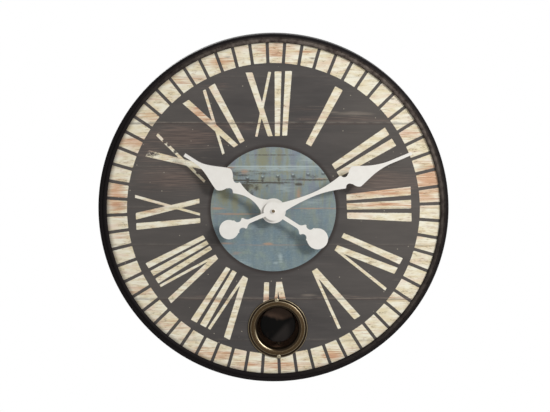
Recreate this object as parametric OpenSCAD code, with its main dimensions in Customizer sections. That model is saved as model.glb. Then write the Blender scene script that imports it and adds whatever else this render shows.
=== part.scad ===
// Pendulum wall clock. Millimetres, +Z up, the dial faces -Y and the wall is the plane Y = 0.
// The origin is the middle of the keyhole's entry hole, where the wall screw goes in.
// Forward heights are measured from the wall towards the viewer, along -Y.

/* [Case] */
// Outer radius of the rim
rim_r = 292; // [280:1:310]
// Depth of the case from the wall to the crest of the rim
case_depth = 50; // [48:1:64]
// Thickness of the rim's sheet
rim_t = 1.2; // [1:0.1:1.6]
// Radius of the rim's outer shoulder
shoulder_r = 5.8; // [4:0.2:6.6]
// Radius of the bead along the front of the rim
bead_r = 3.7; // [3:0.1:4]
// Height of the bead's crest over the dial
rim_proud = 5; // [4.5:0.5:7]
// Height of the shoulder's crest under the bead's crest
shoulder_drop = 2; // [1:0.5:2.5]
// Width of the flange that the back cover is screwed to
flange_w = 8; // [7.5:0.5:12]
// Thickness of the back cover
cover_t = 3.2; // [2.5:0.1:4]
// Number of screws round the back cover
cover_screw_count = 8; // [4:4:8]
// Width of the opening in the back cover
access_w = 100; // [92:2:120]
// Height of the opening in the back cover
access_h = 160; // [150:2:180]
// Number of clips that hold the dial behind the rim
clip_count = 6; // [6:6:12]

/* [Dial] */
// Thickness of the dial panel
dial_t = 12; // [8:0.5:13]
// Gap between the dial panel and the rim's flange as it goes in from behind
dial_gap = 0.5; // [0.3:0.1:1]
// Distance of the middle of the pendulum window inside the rim's outer edge
window_edge = 91; // [87:1:95]
// Inner radius of the window's bezel at the front
window_r = 36.5; // [33:0.5:38]
// Inner radius of the bezel's collar at its back end
window_back_r = 34.5; // [31:0.5:36]
// Width of the bezel's face
bezel_w = 13.9; // [12:0.1:15]
// Height of the bezel over the dial
bezel_h = 3.7; // [3:0.1:5]

/* [Hands] */
// Hour that the hands show
shown_hour = 10; // [0:1:11]
// Minute that the hands show
shown_minute = 11.54; // [0:0.01:59.99]
// Angle that the hour hand was pushed on out of true
hour_hand_slip = -1.2; // [-3:0.1:3]
// Length of the minute hand from its axis to the tip
minute_len = 248; // [240:1:262]
// Length of the hour hand from its axis to the tip
hour_len = 174; // [165:1:185]
// Height of the hour hand's face over the dial
hour_hand_h = 20.8; // [19:0.2:24]
// Distance between the faces of the two hands
hand_step = 4.2; // [3.6:0.1:6]
// Thickness of the sheet that the hands are cut from
hand_t = 1; // [0.8:0.1:1.5]
// Radius of the hour hand's hub
hour_hub_r = 20.8; // [18:0.2:22]
// Radius of the minute hand's hub
minute_hub_r = 16; // [13:0.2:17]

/* [Movement] */
// Width of the movement's case
movement_w = 66; // [66:1:76]
// Depth of the movement's case
movement_t = 20; // [20:0.5:21]
// Wall of the movement's case
movement_wall = 1.5; // [1.2:0.1:1.6]
// Thickness of the rubber gasket behind the dial
gasket_t = 1; // [0.5:0.1:2]
// Outer radius of the threaded bushing
bushing_r = 4; // [3.8:0.1:5]
// Outer radius of the hour pipe
pipe_r = 2.65; // [2.5:0.05:2.8]
// Radius of the minute arbor
arbor_r = 1.67; // [1.5:0.01:1.75]
// Radial clearance of everything that turns in a hole
run_gap = 0.07; // [0.05:0.01:0.09]
// Thickness of the gear wheels
wheel_t = 1.2; // [0.8:0.1:1.3]
// Tooth module of the cannon pinion and the minute wheel
minute_module = 0.5; // [0.49:0.01:0.52]
// Tooth module of the centre wheel and the third pinion
centre_module = 0.4; // [0.38:0.01:0.42]
// Tooth module of the third wheel and the seconds pinion
third_module = 0.32; // [0.31:0.01:0.34]
// Tooth module of the seconds wheel and the step pinion
seconds_module = 0.3; // [0.28:0.01:0.31]
// Tooth module of the step wheel and the rotor pinion
step_module = 0.22; // [0.2:0.01:0.23]

/* [Pendulum] */
// Distance of the pendulum's pivot below the hands' axis
pivot_drop = 31; // [30:0.5:33]
// Radius of the bob
bob_r = 29.6; // [26:0.2:31]
// Thickness of the bob in the middle
bob_t = 7; // [5:0.5:8]
// Width of the pendulum rod
rod_w = 5; // [4:0.2:6]
// Thickness of the pendulum rod
rod_t = 0.8; // [0.6:0.1:1]
// Distance of the bob's middle above the middle of the window
bob_lift = 2.5; // [0:0.5:3]
// Largest swing of the pendulum to each side, in degrees
swing = 5; // [3:0.5:6]

/* [Hanging] */
// Distance of the keyhole inside the rim's outer edge
hanger_edge = 52; // [47:1:57]
// Thickness of the hanger plate and of the wall pads
standoff_t = 1.8; // [1.5:0.1:2.5]
// Radius of the keyhole's entry hole
keyhole_r = 5; // [4.6:0.1:6]
// Width of the keyhole's slot
keyhole_slot_w = 5; // [4:0.1:5]
// Length of the keyhole's slot above the entry hole's middle
keyhole_rise = 11; // [9:0.5:12]

/* [Hidden] */
$fn = 96;
round_fn = 180;

// Forward heights of the case
cover_front_h = standoff_t + cover_t;
flange_front_h = cover_front_h + rim_t;
dial_front_h = case_depth - rim_proud;
dial_back_h = dial_front_h - dial_t;
shoulder_h = case_depth - shoulder_drop - shoulder_r;
flange_r = rim_r - flange_w;
dial_r = flange_r - dial_gap;
wall_r = rim_r - rim_t;
bead_x = rim_r - shoulder_r - bead_r - 1.2;
bead_h = case_depth - bead_r;
cover_r = rim_r - 1;
cover_screw_ring = rim_r - flange_w / 2 - 0.5;

// Screws
head_r = 3;
shank_r = 1.45;
shank_gap = 0.12;
panel_screw_len = 9;
cover_screw_len = 8;
small_head_r = 2.85;
small_shank_r = 1.4;

// Dial clips
clip_w = 16;
clip_t = 1.2;
clip_foot = 26;
clip_leg = 15;
clip_r = wall_r - 0.3;
clip_screw_ring = dial_r - 11;

// Hanger block and plate
hanger_z = rim_r - hanger_edge;
block_w = 80;
block_h = 44;
plate_w = 64;
plate_h = 30;
plate_screw_x = 24;
pocket_r = keyhole_r + 2;
pocket_deep = 9;
csk_r = 3.4;
hanger_screw_len = 20;
pad_r = 9;
pad_ring = rim_r - 30;

// Window
bezel_out_r = window_r + bezel_w;
collar_r = window_r + 1.8;
collar_gap = 0.2;
collar_len = dial_t - 0.5;
bezel_bead_r = 1.6;
band_c = window_r + 5.9;
band_r = 6.2;
lug_r = 3.3;
lug_h = 2;
bezel_screw_at = bezel_out_r - 2.5;

// Movement: forward heights of its case and of its six layers of wheels
mv_front_h = dial_back_h - gasket_t;
mv_back_h = mv_front_h - movement_t;
mv_split_h = mv_back_h + 7;
mv_in_front = mv_front_h - movement_wall;
mv_in_back = mv_back_h + movement_wall;
mv_top = 45;
mv_bottom = -69;
mv_corner = 4;
bay_floor_z = 27.4;
bushing_head_t = 0.6;
layer_step = wheel_t + 0.5;
function layer_h(k) = mv_in_front - bushing_head_t - 0.4 - wheel_t - (k - 1) * layer_step;
plate_t = 1;
plate_half_w = movement_w / 2 - 5;
plate_bottom = -22;
plate_top = 18.6;
post_places = [[movement_w / 2 - 9, -15], [8 - movement_w / 2, 3], [1, -19]];
post_r = 2;
train_plate_h = layer_h(6) - 5.5;
stator_h = train_plate_h + plate_t;
stator_t = 1.2;
pivot_r = 0.6;
staff_r = 1;

// Tooth counts
cannon_teeth = 12;
minute_teeth = 36;
minute_pinion_teeth = 10;
hour_teeth = 40;
knob_teeth = 12;
centre_teeth = 60;
third_pinion_teeth = 8;
third_teeth = 64;
seconds_pinion_teeth = 8;
seconds_teeth = 60;
step_pinion_teeth = 10;
step_teeth = 60;
rotor_teeth = 12;

// Distances between the arbors, and the module that fits the hour wheel to the same distance
minute_gap = minute_module * (cannon_teeth + minute_teeth) / 2;
hour_module = 2 * minute_gap / (minute_pinion_teeth + hour_teeth);
third_gap = centre_module * (centre_teeth + third_pinion_teeth) / 2;
seconds_gap = third_module * (third_teeth + seconds_pinion_teeth) / 2;
step_gap = seconds_module * (seconds_teeth + step_pinion_teeth) / 2;
rotor_gap = step_module * (step_teeth + rotor_teeth) / 2;

// Directions from each arbor to the next, anticlockwise from +X as seen from the front
minute_dir = 200;
knob_dir = 235;
third_dir = 20;
seconds_dir = 100;
step_dir = 190;
rotor_dir = 180;

function polar(d, a) = [d * cos(a), d * sin(a)];
centre_at = [0, 0];
minute_at = polar(minute_gap, minute_dir);
knob_at = minute_at + polar(minute_gap, knob_dir);
third_at = polar(third_gap, third_dir);
seconds_at = third_at + polar(seconds_gap, seconds_dir);
step_at = seconds_at + polar(step_gap, step_dir);
rotor_at = step_at + polar(rotor_gap, rotor_dir);

// Angle of one tooth of a gear that meshes with a gear of n1 teeth, one of whose teeth is at phase a1
function meshed(a1, n1, n2, dir) = dir + 180 - 180 / n2 + (dir - a1) * n1 / n2;
cannon_phase = 0;
minute_phase = meshed(cannon_phase, cannon_teeth, minute_teeth, minute_dir);
minute_pinion_phase = 0;
hour_phase = meshed(minute_pinion_phase, minute_pinion_teeth, hour_teeth, minute_dir + 180);
knob_phase = meshed(minute_phase, minute_teeth, knob_teeth, knob_dir);
centre_phase = 0;
third_pinion_phase = meshed(centre_phase, centre_teeth, third_pinion_teeth, third_dir);
third_phase = 0;
seconds_pinion_phase = meshed(third_phase, third_teeth, seconds_pinion_teeth, seconds_dir);
seconds_phase = 0;
step_pinion_phase = meshed(seconds_phase, seconds_teeth, step_pinion_teeth, step_dir);
step_phase = 0;
rotor_phase = meshed(step_phase, step_teeth, rotor_teeth, rotor_dir);

// Teeth
pressure = 20;
addendum = 0.85;
dedendum = 1.2;
tooth_fill = 0.8;

// Motor and electrics
rotor_magnet_r = 3;
rotor_magnet_t = 1.8;
stator_hole_r = 3.5;
coil_z = 22.2;
coil_r = 2.1;
coil_core = 1.2;
stator_left = 3 - movement_w / 2;
stator_half = 5;
leg_w = 2.5;
leg_x = rotor_at[0] - 6.5;
coil_x = stator_left + leg_w + 0.3;
battery_r = 7.25;
battery_len = 50.5;
battery_nub = 1;
battery_nub_r = 2.75;
battery_z = 35.6;
battery_h = (mv_front_h + mv_back_h) / 2 - 1.4;
bay_gap = 0.4;
chip_x = movement_w / 2 - 12;
contact_t = 0.4;
contact_w = 8;
contact_len = 10;
contact_x = battery_len / 2 + bay_gap + 0.02;

// Pendulum
pivot_z = -pivot_drop;
pin_r = 1;
lever_h = mv_back_h + 8.5;
lever_t = 3;
lever_w = 6;
lever_hub_r = 3.2;
lever_hub_t = 6;
peg_z = mv_bottom - 6;
peg_r = 1.2;
eye_r = 3.4;
magnet_z = -58;
magnet_r = 4;
magnet_t = 2.4;
coil_face_gap = 1;
drive_coil_r = 9;
drive_coil_t = 2.6;
bobbin_t = 0.4;
slot_half = lever_w / 2 + (pivot_z - mv_bottom) * tan(swing) + 1.5;
rod_h = lever_h + lever_t + 0.4;
window_z = window_edge - rim_r;
bob_z = window_z + bob_lift;
bob_h = rod_h + rod_t / 2;
bob_edge = 1.6;
thread_r = 1;
nut_r = 4;
nut_t = 3;
rod_end_z = bob_z - bob_r / 2;
rod_tip_z = bob_z - bob_r - nut_t - 3;

// Hands
hour_face_h = dial_front_h + hour_hand_h;
minute_face_h = hour_face_h + hand_step;
minute_angle = shown_minute * 6;
hour_angle = (shown_hour + shown_minute / 60) * 30 + hour_hand_slip;
collet_r = 4.6;
press_gap = 0.01;
nut_hole_r = 1.45;
hand_nut_r = 3.9;
hand_nut_t = 1.8;

// The hands' axis, from which every piece is drawn
module on_axis() translate([0, 0, -hanger_z]) children();

// A flat outline as seen from the front, standing from forward height h to h + t
module sheet(h, t) translate([0, -h, 0]) rotate([90, 0, 0]) linear_extrude(t) children();

// A profile of radius and forward height, turned about an axis square to the dial
module turned(at = [0, 0]) translate([at[0], 0, at[1]]) rotate([90, 0, 0])
    rotate_extrude($fn = round_fn) children();

// A round bar square to the dial, from forward height h0 to h1
module bar(at, r, h0, h1) translate([at[0], -h0, at[1]]) rotate([90, 0, 0])
    cylinder(r = r, h = h1 - h0);

// A cone square to the dial, of radius r0 at forward height h0 and r1 at h1
module taper(at, r0, r1, h0, h1) translate([at[0], -h0, at[1]]) rotate([90, 0, 0])
    cylinder(r1 = r0, r2 = r1, h = h1 - h0);

// A rectangle with round corners, from its low corner to its high corner
module soft_rect(lo, hi, r) {
    translate(lo + [r, 0]) square([hi[0] - lo[0] - 2 * r, hi[1] - lo[1]]);
    translate(lo + [0, r]) square([hi[0] - lo[0], hi[1] - lo[1] - 2 * r]);
    for (x = [lo[0] + r, hi[0] - r], y = [lo[1] + r, hi[1] - r])
        translate([x, y]) circle(r = r);
}

// A rectangle from its low corner to its high corner
module rect(lo, hi) translate(lo) square(hi - lo);

// Copies round the hands' axis, the first at angle a
module around(count, a = 0) for (i = [0:count - 1]) rotate([0, -a - i * 360 / count, 0]) children();

// A pan-head screw that points forward, its head's seat at forward height h
module panel_screw(at, h, len, r_head, r_shank) {
    taper(at, r_head * 0.8, r_head, h - 1.6, h - 0.9);
    bar(at, r_head, h - 0.9, h);
    bar(at, r_shank, h, h + len - 2);
    taper(at, r_shank, 0.2, h + len - 2, h + len);
}

// Gear tooth: half of the angle that it covers at radius r, from the involute of its base circle
function inv_deg(a) = tan(a) * 180 / PI - a;
function tooth_half(r, m, n) =
    let (base = m * n / 2 * cos(pressure), q = max(r, base))
    90 / n * tooth_fill + inv_deg(pressure) - inv_deg(acos(base / q));
function tooth(m, n, a) =
    let (rp = m * n / 2, radii = [rp - dedendum * m, rp, rp + addendum * m])
    concat([for (r = radii) polar(r, a - tooth_half(r, m, n))],
        [for (i = [2:-1:0]) polar(radii[i], a + tooth_half(radii[i], m, n))]);

// Outline of a spur gear of module m with n teeth, one of them at angle phase
module gear(m, n, phase) polygon([for (i = [0:n - 1]) each tooth(m, n, phase + i * 360 / n)]);

// A gear at a layer of the train
module wheel(at, layer, m, n, phase) sheet(layer_h(layer), wheel_t)
    translate(at) gear(m, n, phase);

// A staff from the bearing in the front case to the one in the train plate
module staff(at, r) {
    bar(at, r, train_plate_h + plate_t + 0.3, mv_in_front - 0.3);
    bar(at, pivot_r, train_plate_h + 0.2, mv_in_front + 0.8);
}

// Case

// Section of the rim: rear flange, side wall, rounded shoulder, groove and front bead
module rim_section() {
    rect([flange_r, cover_front_h], [rim_r, flange_front_h]);
    rect([wall_r, cover_front_h], [rim_r, shoulder_h]);
    difference() {
        translate([rim_r - shoulder_r, shoulder_h]) circle(r = shoulder_r);
        translate([rim_r - shoulder_r, shoulder_h]) circle(r = shoulder_r - rim_t);
        rect([rim_r - 2 * shoulder_r - 1, shoulder_h - shoulder_r - 1], [rim_r + 1, shoulder_h]);
        rect([rim_r - 2 * shoulder_r - 1, shoulder_h - 1], [rim_r - shoulder_r, case_depth]);
    }
    rect([bead_x + bead_r - rim_t, dial_front_h], [rim_r - shoulder_r, dial_front_h + rim_t]);
    rect([rim_r - shoulder_r - rim_t, dial_front_h], [rim_r - shoulder_r, shoulder_h + shoulder_r]);
    difference() {
        translate([bead_x, bead_h]) circle(r = bead_r);
        translate([bead_x, bead_h]) circle(r = bead_r - rim_t);
        rect([bead_x - bead_r - 1, bead_h - bead_r - 1], [bead_x + bead_r + 1, bead_h]);
    }
    for (x = [bead_x - bead_r, bead_x + bead_r - rim_t])
        rect([x, dial_front_h], [x + rim_t, bead_h]);
}
module case_rim() color("#1c1c1e") on_axis() difference() {
    turned() rim_section();
    around(cover_screw_count, 22.5) bar([cover_screw_ring, 0], shank_r + shank_gap,
        cover_front_h - 1, flange_front_h + 1);
}

module window_hole(r) translate([0, window_z]) circle(r = r, $fn = round_fn);
module dial_panel() color("#4b494b") on_axis() difference() {
    sheet(dial_back_h, dial_t) difference() {
        circle(r = dial_r, $fn = round_fn);
        circle(r = bushing_r + 0.3);
        window_hole(collar_r + collar_gap);
    }
    for (z = [-bezel_screw_at, bezel_screw_at])
        bar([0, window_z + z], small_shank_r + shank_gap, dial_front_h - 8.5, dial_front_h + 1);
    around(clip_count) bar([clip_screw_ring, 0], shank_r + shank_gap,
        dial_back_h - 1, dial_back_h + panel_screw_len);
}

// The bezel's moulding and the collar that lines the hole in the dial
module bezel_section() {
    difference() {
        translate([band_c, dial_front_h + bezel_h - band_r]) circle(r = band_r);
        rect([0, dial_front_h - 2 * band_r], [bezel_out_r, dial_front_h]);
        rect([0, dial_front_h - 1], [window_r + 1, case_depth]);
    }
    rect([window_r + 0.8, dial_front_h], [bezel_out_r - bezel_bead_r, dial_front_h + 1]);
    difference() {
        translate([bezel_out_r - bezel_bead_r, dial_front_h + 0.6]) circle(r = bezel_bead_r);
        rect([0, dial_front_h - 2 * bezel_bead_r], [bezel_out_r + 1, dial_front_h]);
    }
    polygon([[window_back_r, dial_front_h - collar_len], [collar_r, dial_front_h - collar_len],
        [collar_r, dial_front_h], [window_r + 1.6, dial_front_h + bezel_h - 1.2],
        [window_r, dial_front_h + bezel_h - 1.7]]);
}
module window_bezel() color("#5d4c2f") on_axis() difference() {
    union() {
        turned([0, window_z]) bezel_section();
        for (z = [-bezel_screw_at, bezel_screw_at])
            bar([0, window_z + z], lug_r, dial_front_h, dial_front_h + lug_h);
    }
    for (z = [-bezel_screw_at, bezel_screw_at]) {
        bar([0, window_z + z], small_shank_r + shank_gap, dial_front_h - 1, dial_front_h + 5);
        bar([0, window_z + z], small_head_r + 0.1, dial_front_h + lug_h, case_depth);
    }
}
module bezel_screws() color("#d9d2c4") on_axis() for (z = [-bezel_screw_at, bezel_screw_at]) {
    seat = dial_front_h + lug_h;
    at = [0, window_z + z];
    bar(at, small_head_r, seat, seat + 0.8);
    taper(at, small_head_r, small_head_r * 0.7, seat + 0.8, seat + 1.5);
    bar(at, small_shank_r, seat - 7, seat);
    taper(at, 0.2, small_shank_r, seat - 9, seat - 7);
}

// Bent clips, spot-welded to the rim's wall, that carry the dial panel from behind
module dial_clips() color("#8a8c8e") on_axis() around(clip_count) difference() {
    union() {
        sheet(dial_back_h - clip_t, clip_t)
            rect([clip_r - clip_foot, -clip_w / 2], [clip_r, clip_w / 2]);
        sheet(dial_back_h - clip_leg, clip_leg)
            rect([clip_r - clip_t, -clip_w / 2], [clip_r, clip_w / 2]);
    }
    bar([clip_screw_ring, 0], shank_r + shank_gap, dial_back_h - clip_t - 1, dial_back_h + 1);
}
module clip_screws() color("#b7b9bb") on_axis() around(clip_count)
    panel_screw([clip_screw_ring, 0], dial_back_h - clip_t, panel_screw_len, head_r, shank_r);

module keyhole(r, w) {
    translate([0, hanger_z]) circle(r = r);
    translate([0, hanger_z + keyhole_rise]) circle(r = w / 2);
    rect([-w / 2, hanger_z], [w / 2, hanger_z + keyhole_rise]);
}
module back_cover() color("#4a3b30") on_axis() difference() {
    sheet(standoff_t, cover_t) difference() {
        circle(r = cover_r, $fn = round_fn);
        soft_rect([-access_w / 2, 60 - access_h], [access_w / 2, 60], 10);
        keyhole(pocket_r, 2 * pocket_r - 2);
        for (x = [-plate_screw_x, plate_screw_x])
            translate([x, hanger_z]) circle(r = shank_r + 0.4);
    }
    around(cover_screw_count, 22.5) bar([cover_screw_ring, 0], shank_r + 0.3,
        standoff_t - 1, cover_front_h + 1);
}
module cover_screws() color("#26262a") on_axis() around(cover_screw_count, 22.5)
    panel_screw([cover_screw_ring, 0], standoff_t, cover_screw_len, head_r, shank_r);

module hanger_block() color("#b98d5c") on_axis() difference() {
    sheet(cover_front_h, dial_back_h - cover_front_h)
        rect([-block_w / 2, hanger_z - block_h / 2], [block_w / 2, hanger_z + block_h / 2]);
    sheet(cover_front_h - 1, pocket_deep + 1) keyhole(pocket_r, 2 * pocket_r - 2);
    for (x = [-plate_screw_x, plate_screw_x])
        bar([x, hanger_z], shank_r + shank_gap, cover_front_h - 1, standoff_t + hanger_screw_len);
}
module hanger_plate() color("#a9abad") on_axis() difference() {
    sheet(0, standoff_t) difference() {
        soft_rect([-plate_w / 2, hanger_z - plate_h / 2], [plate_w / 2, hanger_z + plate_h / 2], 6);
        keyhole(keyhole_r, keyhole_slot_w);
    }
    for (x = [-plate_screw_x, plate_screw_x]) {
        taper([x, hanger_z], csk_r + 0.1, shank_r + shank_gap, 0, standoff_t);
        bar([x, hanger_z], shank_r + shank_gap, -1, standoff_t + 1);
    }
}
module hanger_screws() color("#d0c28a") on_axis() for (x = [-plate_screw_x, plate_screw_x]) {
    at = [x, hanger_z];
    taper(at, csk_r, shank_r, 0.05, standoff_t);
    bar(at, shank_r, standoff_t, hanger_screw_len - 3);
    taper(at, shank_r, 0.2, hanger_screw_len - 3, hanger_screw_len);
}
module wall_pads() color("#3a3a3c") on_axis() around(4, 45)
    bar([pad_ring, 0], pad_r, 0, standoff_t);

// Movement, fixed pieces

module case_outline(inset) soft_rect([-movement_w / 2 + inset, mv_bottom + inset],
    [movement_w / 2 - inset, mv_top - inset], mv_corner - inset);
module lever_slot() sheet(lever_h - 4, lever_t + magnet_t + 6)
    rect([-slot_half, mv_bottom - 1], [slot_half, mv_bottom + movement_wall + 1]);
module battery_room(grow) sheet(mv_back_h - 1, battery_h + battery_r + grow - mv_back_h + 1)
    rect([-battery_len / 2 - grow, battery_z - battery_r - grow],
        [battery_len / 2 + grow, battery_z + battery_r + grow]);

module movement_front_case() color("#1b1b1d") on_axis() difference() {
    union() {
        difference() {
            sheet(mv_split_h, mv_front_h - mv_split_h) case_outline(0);
            sheet(mv_split_h - 1, mv_in_front - mv_split_h + 1) case_outline(movement_wall);
        }
        sheet(mv_split_h, mv_in_front - mv_split_h)
            rect([-movement_w / 2 + 1, bay_floor_z - 1], [movement_w / 2 - 1, bay_floor_z]);
        for (at = post_places)
            bar(at, post_r, train_plate_h + plate_t, mv_in_front);
        for (at = [third_at, seconds_at, step_at, rotor_at])
            bar(at, 1.6, mv_in_front - 0.2, mv_front_h);
        bar([0, pivot_z], 3, lever_h + lever_t / 2 + lever_hub_t / 2 + 0.3, mv_front_h);
        bar(minute_at, 0.9, layer_h(2) - 0.3, mv_front_h);
    }
    bar(centre_at, bushing_r + 0.02, mv_in_front - 1, mv_front_h + 1);
    for (at = [third_at, seconds_at, step_at, rotor_at])
        bar(at, pivot_r + run_gap, mv_in_front - 1, mv_in_front + 0.9);
    bar([0, pivot_z], pin_r + press_gap, mv_in_back, mv_in_front + 0.8);
    lever_slot();
}
module movement_rear_case() color("#202024") on_axis() difference() {
    union() {
        difference() {
            sheet(mv_back_h, mv_split_h - mv_back_h) case_outline(0);
            sheet(mv_in_back, mv_split_h) case_outline(movement_wall);
        }
        sheet(mv_back_h, mv_split_h - mv_back_h)
            rect([-movement_w / 2 + 1, bay_floor_z - 1], [movement_w / 2 - 1, bay_floor_z]);
        bar([0, pivot_z], 3, mv_back_h, lever_h + lever_t / 2 - lever_hub_t / 2 - 0.3);
    }
    battery_room(bay_gap);
    bar(knob_at, 1.5 + run_gap, mv_back_h - 1, mv_in_back + 1);
    bar([0, pivot_z], pin_r + press_gap, mv_in_back - 0.8, mv_in_front);
    lever_slot();
}
module train_plate() color("#c9c9c4") on_axis() difference() {
    sheet(train_plate_h, plate_t) difference() {
        soft_rect([-plate_half_w, plate_bottom], [plate_half_w, plate_top], 3);
        translate(centre_at) circle(r = 1 + run_gap);
        translate(knob_at) circle(r = 1.5 + run_gap);
        for (at = [third_at, seconds_at, step_at, rotor_at])
            translate(at) circle(r = pivot_r + run_gap);
    }
}
module threaded_bushing() color("#c2a35a") on_axis() difference() {
    union() {
        bar(centre_at, bushing_r + 2.6, mv_in_front - bushing_head_t, mv_in_front);
        bar(centre_at, bushing_r, mv_in_front - bushing_head_t, hour_face_h - 7);
    }
    bar(centre_at, pipe_r + run_gap, mv_in_back, hour_face_h);
}
module rubber_gasket() color("#2a2a2a") on_axis() difference() {
    bar(centre_at, 13, mv_front_h, dial_back_h);
    bar(centre_at, bushing_r + 0.2, mv_back_h, dial_front_h);
}
module dial_washer() color("#c9ab63") on_axis() difference() {
    bar(centre_at, 8, dial_front_h, dial_front_h + 0.8);
    bar(centre_at, bushing_r + 0.2, dial_back_h, case_depth);
}
module dial_nut() color("#c2a35a") on_axis() difference() {
    sheet(dial_front_h + 0.8, 3) circle(r = 6.9, $fn = 6);
    bar(centre_at, bushing_r + 0.03, dial_back_h, hour_face_h);
}

// Motor: the stator holds the rotor's magnet, and its core runs through the coil
module motor_stator() color("#9a9da0") on_axis() difference() {
    sheet(stator_h, stator_t) {
        rect([stator_left, rotor_at[1] - stator_half], [rotor_at[0] + stator_half, rotor_at[1] + 3.8]);
        rect([stator_left, rotor_at[1] - stator_half], [stator_left + leg_w, coil_z + coil_core]);
        rect([leg_x, rotor_at[1]], [leg_x + leg_w, coil_z + coil_core]);
        rect([stator_left, coil_z - coil_core], [leg_x + leg_w, coil_z + coil_core]);
    }
    bar(rotor_at, stator_hole_r, 0, mv_front_h);
}
module motor_coil() color("#a8552b") on_axis() difference() {
    translate([coil_x, -stator_h - stator_t / 2, coil_z]) rotate([0, 90, 0])
        cylinder(r = coil_r, h = leg_x - coil_x - 0.3);
    sheet(stator_h - 0.05, stator_t + 0.1)
        rect([stator_left, coil_z - coil_core - 0.05], [leg_x + leg_w, coil_z + coil_core + 0.05]);
}
module circuit_board() color("#2f6b3f") on_axis() {
    sheet(mv_in_back + 0.2, 1.2) rect([slot_half + 1, mv_bottom + 4], [movement_w / 2 - 2, -26]);
    bar([chip_x, -40], 3.2, mv_in_back + 1.4, mv_in_back + 2.6);
}
module quartz_crystal() color("#c8cacc") on_axis() translate([chip_x, -mv_in_back - 2.5, -60])
    cylinder(r = 1, h = 6);
module positive_contact() color("#d6d8da") on_axis() sheet(mv_in_back, contact_len)
    rect([contact_x, battery_z - contact_w / 2], [contact_x + contact_t, battery_z + contact_w / 2]);
module negative_contact() color("#d6d8da") on_axis() sheet(mv_in_back, contact_len)
    rect([-contact_x - contact_t, battery_z - contact_w / 2], [-contact_x, battery_z + contact_w / 2]);

// Pendulum drive, fixed pieces
coil_back_h = lever_h + lever_t + magnet_t + coil_face_gap;
module drive_coil() color("#a8552b") on_axis() difference() {
    bar([0, magnet_z], drive_coil_r, coil_back_h + bobbin_t, coil_back_h + bobbin_t + drive_coil_t);
    bar([0, magnet_z], 3.01, 0, case_depth);
}
module drive_bobbin() color("#e8e6de") on_axis() {
    bar([0, magnet_z], 3, coil_back_h, mv_in_front);
    bar([0, magnet_z], drive_coil_r + 0.4, coil_back_h, coil_back_h + bobbin_t);
    bar([0, magnet_z], drive_coil_r + 0.4, coil_back_h + bobbin_t + drive_coil_t, mv_in_front);
}
module pivot_pin() color("#b9bcc0") on_axis()
    bar([0, pivot_z], pin_r, mv_in_back - 0.7, mv_in_front + 0.7);

// Hands and their work

// Half-width that runs from w0 at length y0 to w1 at y1 along a power curve
function swell(y, y0, y1, w0, w1, p) = w0 + (w1 - w0) * pow((y - y0) / (y1 - y0), p);
function lobe_rise(y, y0, y1, w0, w1) = w0 + (w1 - w0) * pow(sin(90 * (y - y0) / (y1 - y0)), 0.8);
function lobe_fall(y, y0, y1, w0, w1, a, b) = w1 + (w0 - w1) * pow(1 - pow((y - y0) / (y1 - y0), a), b);
function steps(y0, y1, n) = [for (i = [0:n]) y0 + (y1 - y0) * i / n];

// Outline on both sides of the hand's axis from its right half
module both_sides(right) polygon(concat(right,
    [for (i = [len(right) - 1:-1:0]) [-right[i][0], right[i][1]]]));

// Outline of a spade hand, its tip upwards. hub: radius. waist: place and half-width of the arm's
// narrowest point. collar: place and half-width of the pointed collar. lobe: place and half-width
// of the spade. blade: where the spade ends, with the two powers of its curve. tail: place and
// radius of the disc.
module hand_outline(length, hub, waist, collar, lobe, blade, tail, tip_w) {
    notch_r = 6.2;
    neck_w = 6.1;
    notch_y = collar[0] + 7.8;
    lobe_start = notch_y + 6.4;
    tail_neck_w = 5.4;
    tail_collar_y = -tail[0] + tail[1] + 12.5;
    shank_w = 3.3;
    circle(r = hub);
    difference() {
        both_sides(concat(
            [for (y = steps(hub * 0.86, waist[0], 8))
                [swell(y, waist[0], hub * 0.86, waist[1], hub * 0.52, 2), y]],
            [for (y = steps(waist[0], collar[0], 8))
                [swell(y, waist[0], collar[0], waist[1], collar[1], 1.8), y]],
            [for (y = steps(lobe_start, lobe[0], 7))
                [lobe_rise(y, lobe_start, lobe[0], 9.2, lobe[1]), y]],
            [for (y = steps(lobe[0], blade[0], 14))
                [lobe_fall(y, lobe[0], blade[0], lobe[1], tip_w, blade[1], blade[2]), y]],
            [[tip_w, length]]));
        for (s = [-1, 1]) translate([s * (neck_w + notch_r), notch_y]) circle(r = notch_r);
    }
    difference() {
        both_sides(concat([[tail[1] * 0.72, -tail[0] + tail[1] * 0.6]],
            [for (y = steps(tail_collar_y, tail_collar_y + 9, 5))
                [swell(y, tail_collar_y + 9, tail_collar_y, shank_w, 9, 2.2), y]],
            [[shank_w, 0]]));
        for (s = [-1, 1]) translate([s * (tail_neck_w + 6.4), tail_collar_y - 8.4]) circle(r = 6.4);
    }
    translate([0, -tail[0]]) circle(r = tail[1]);
}

module minute_hand() color("#e9e5da") on_axis() difference() {
    union() {
        sheet(minute_face_h - hand_t, hand_t) rotate(-minute_angle)
            hand_outline(minute_len, minute_hub_r, [72, 3], [124.5, 11.4], [150, 18.1],
                [212, 1.15, 2.1], [79.5, 16.2], 2.5);
        bar(centre_at, collet_r, minute_face_h - hand_t - 1.4, minute_face_h);
    }
    bar(centre_at, nut_hole_r + press_gap, 0, minute_face_h + 5);
    bar(centre_at, arbor_r + press_gap, 0, minute_face_h - hand_t);
}
module hour_hand() color("#e9e5da") on_axis() difference() {
    union() {
        sheet(hour_face_h - hand_t, hand_t) rotate(-hour_angle)
            hand_outline(hour_len, hour_hub_r, [45, 3.5], [71, 10.3], [98.5, 21],
                [150, 1.3, 1.85], [87, 17.6], 2.8);
        bar(centre_at, collet_r, hour_face_h - hand_t - 4, hour_face_h);
    }
    bar(centre_at, pipe_r + press_gap, 0, hour_face_h + 5);
}
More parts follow.
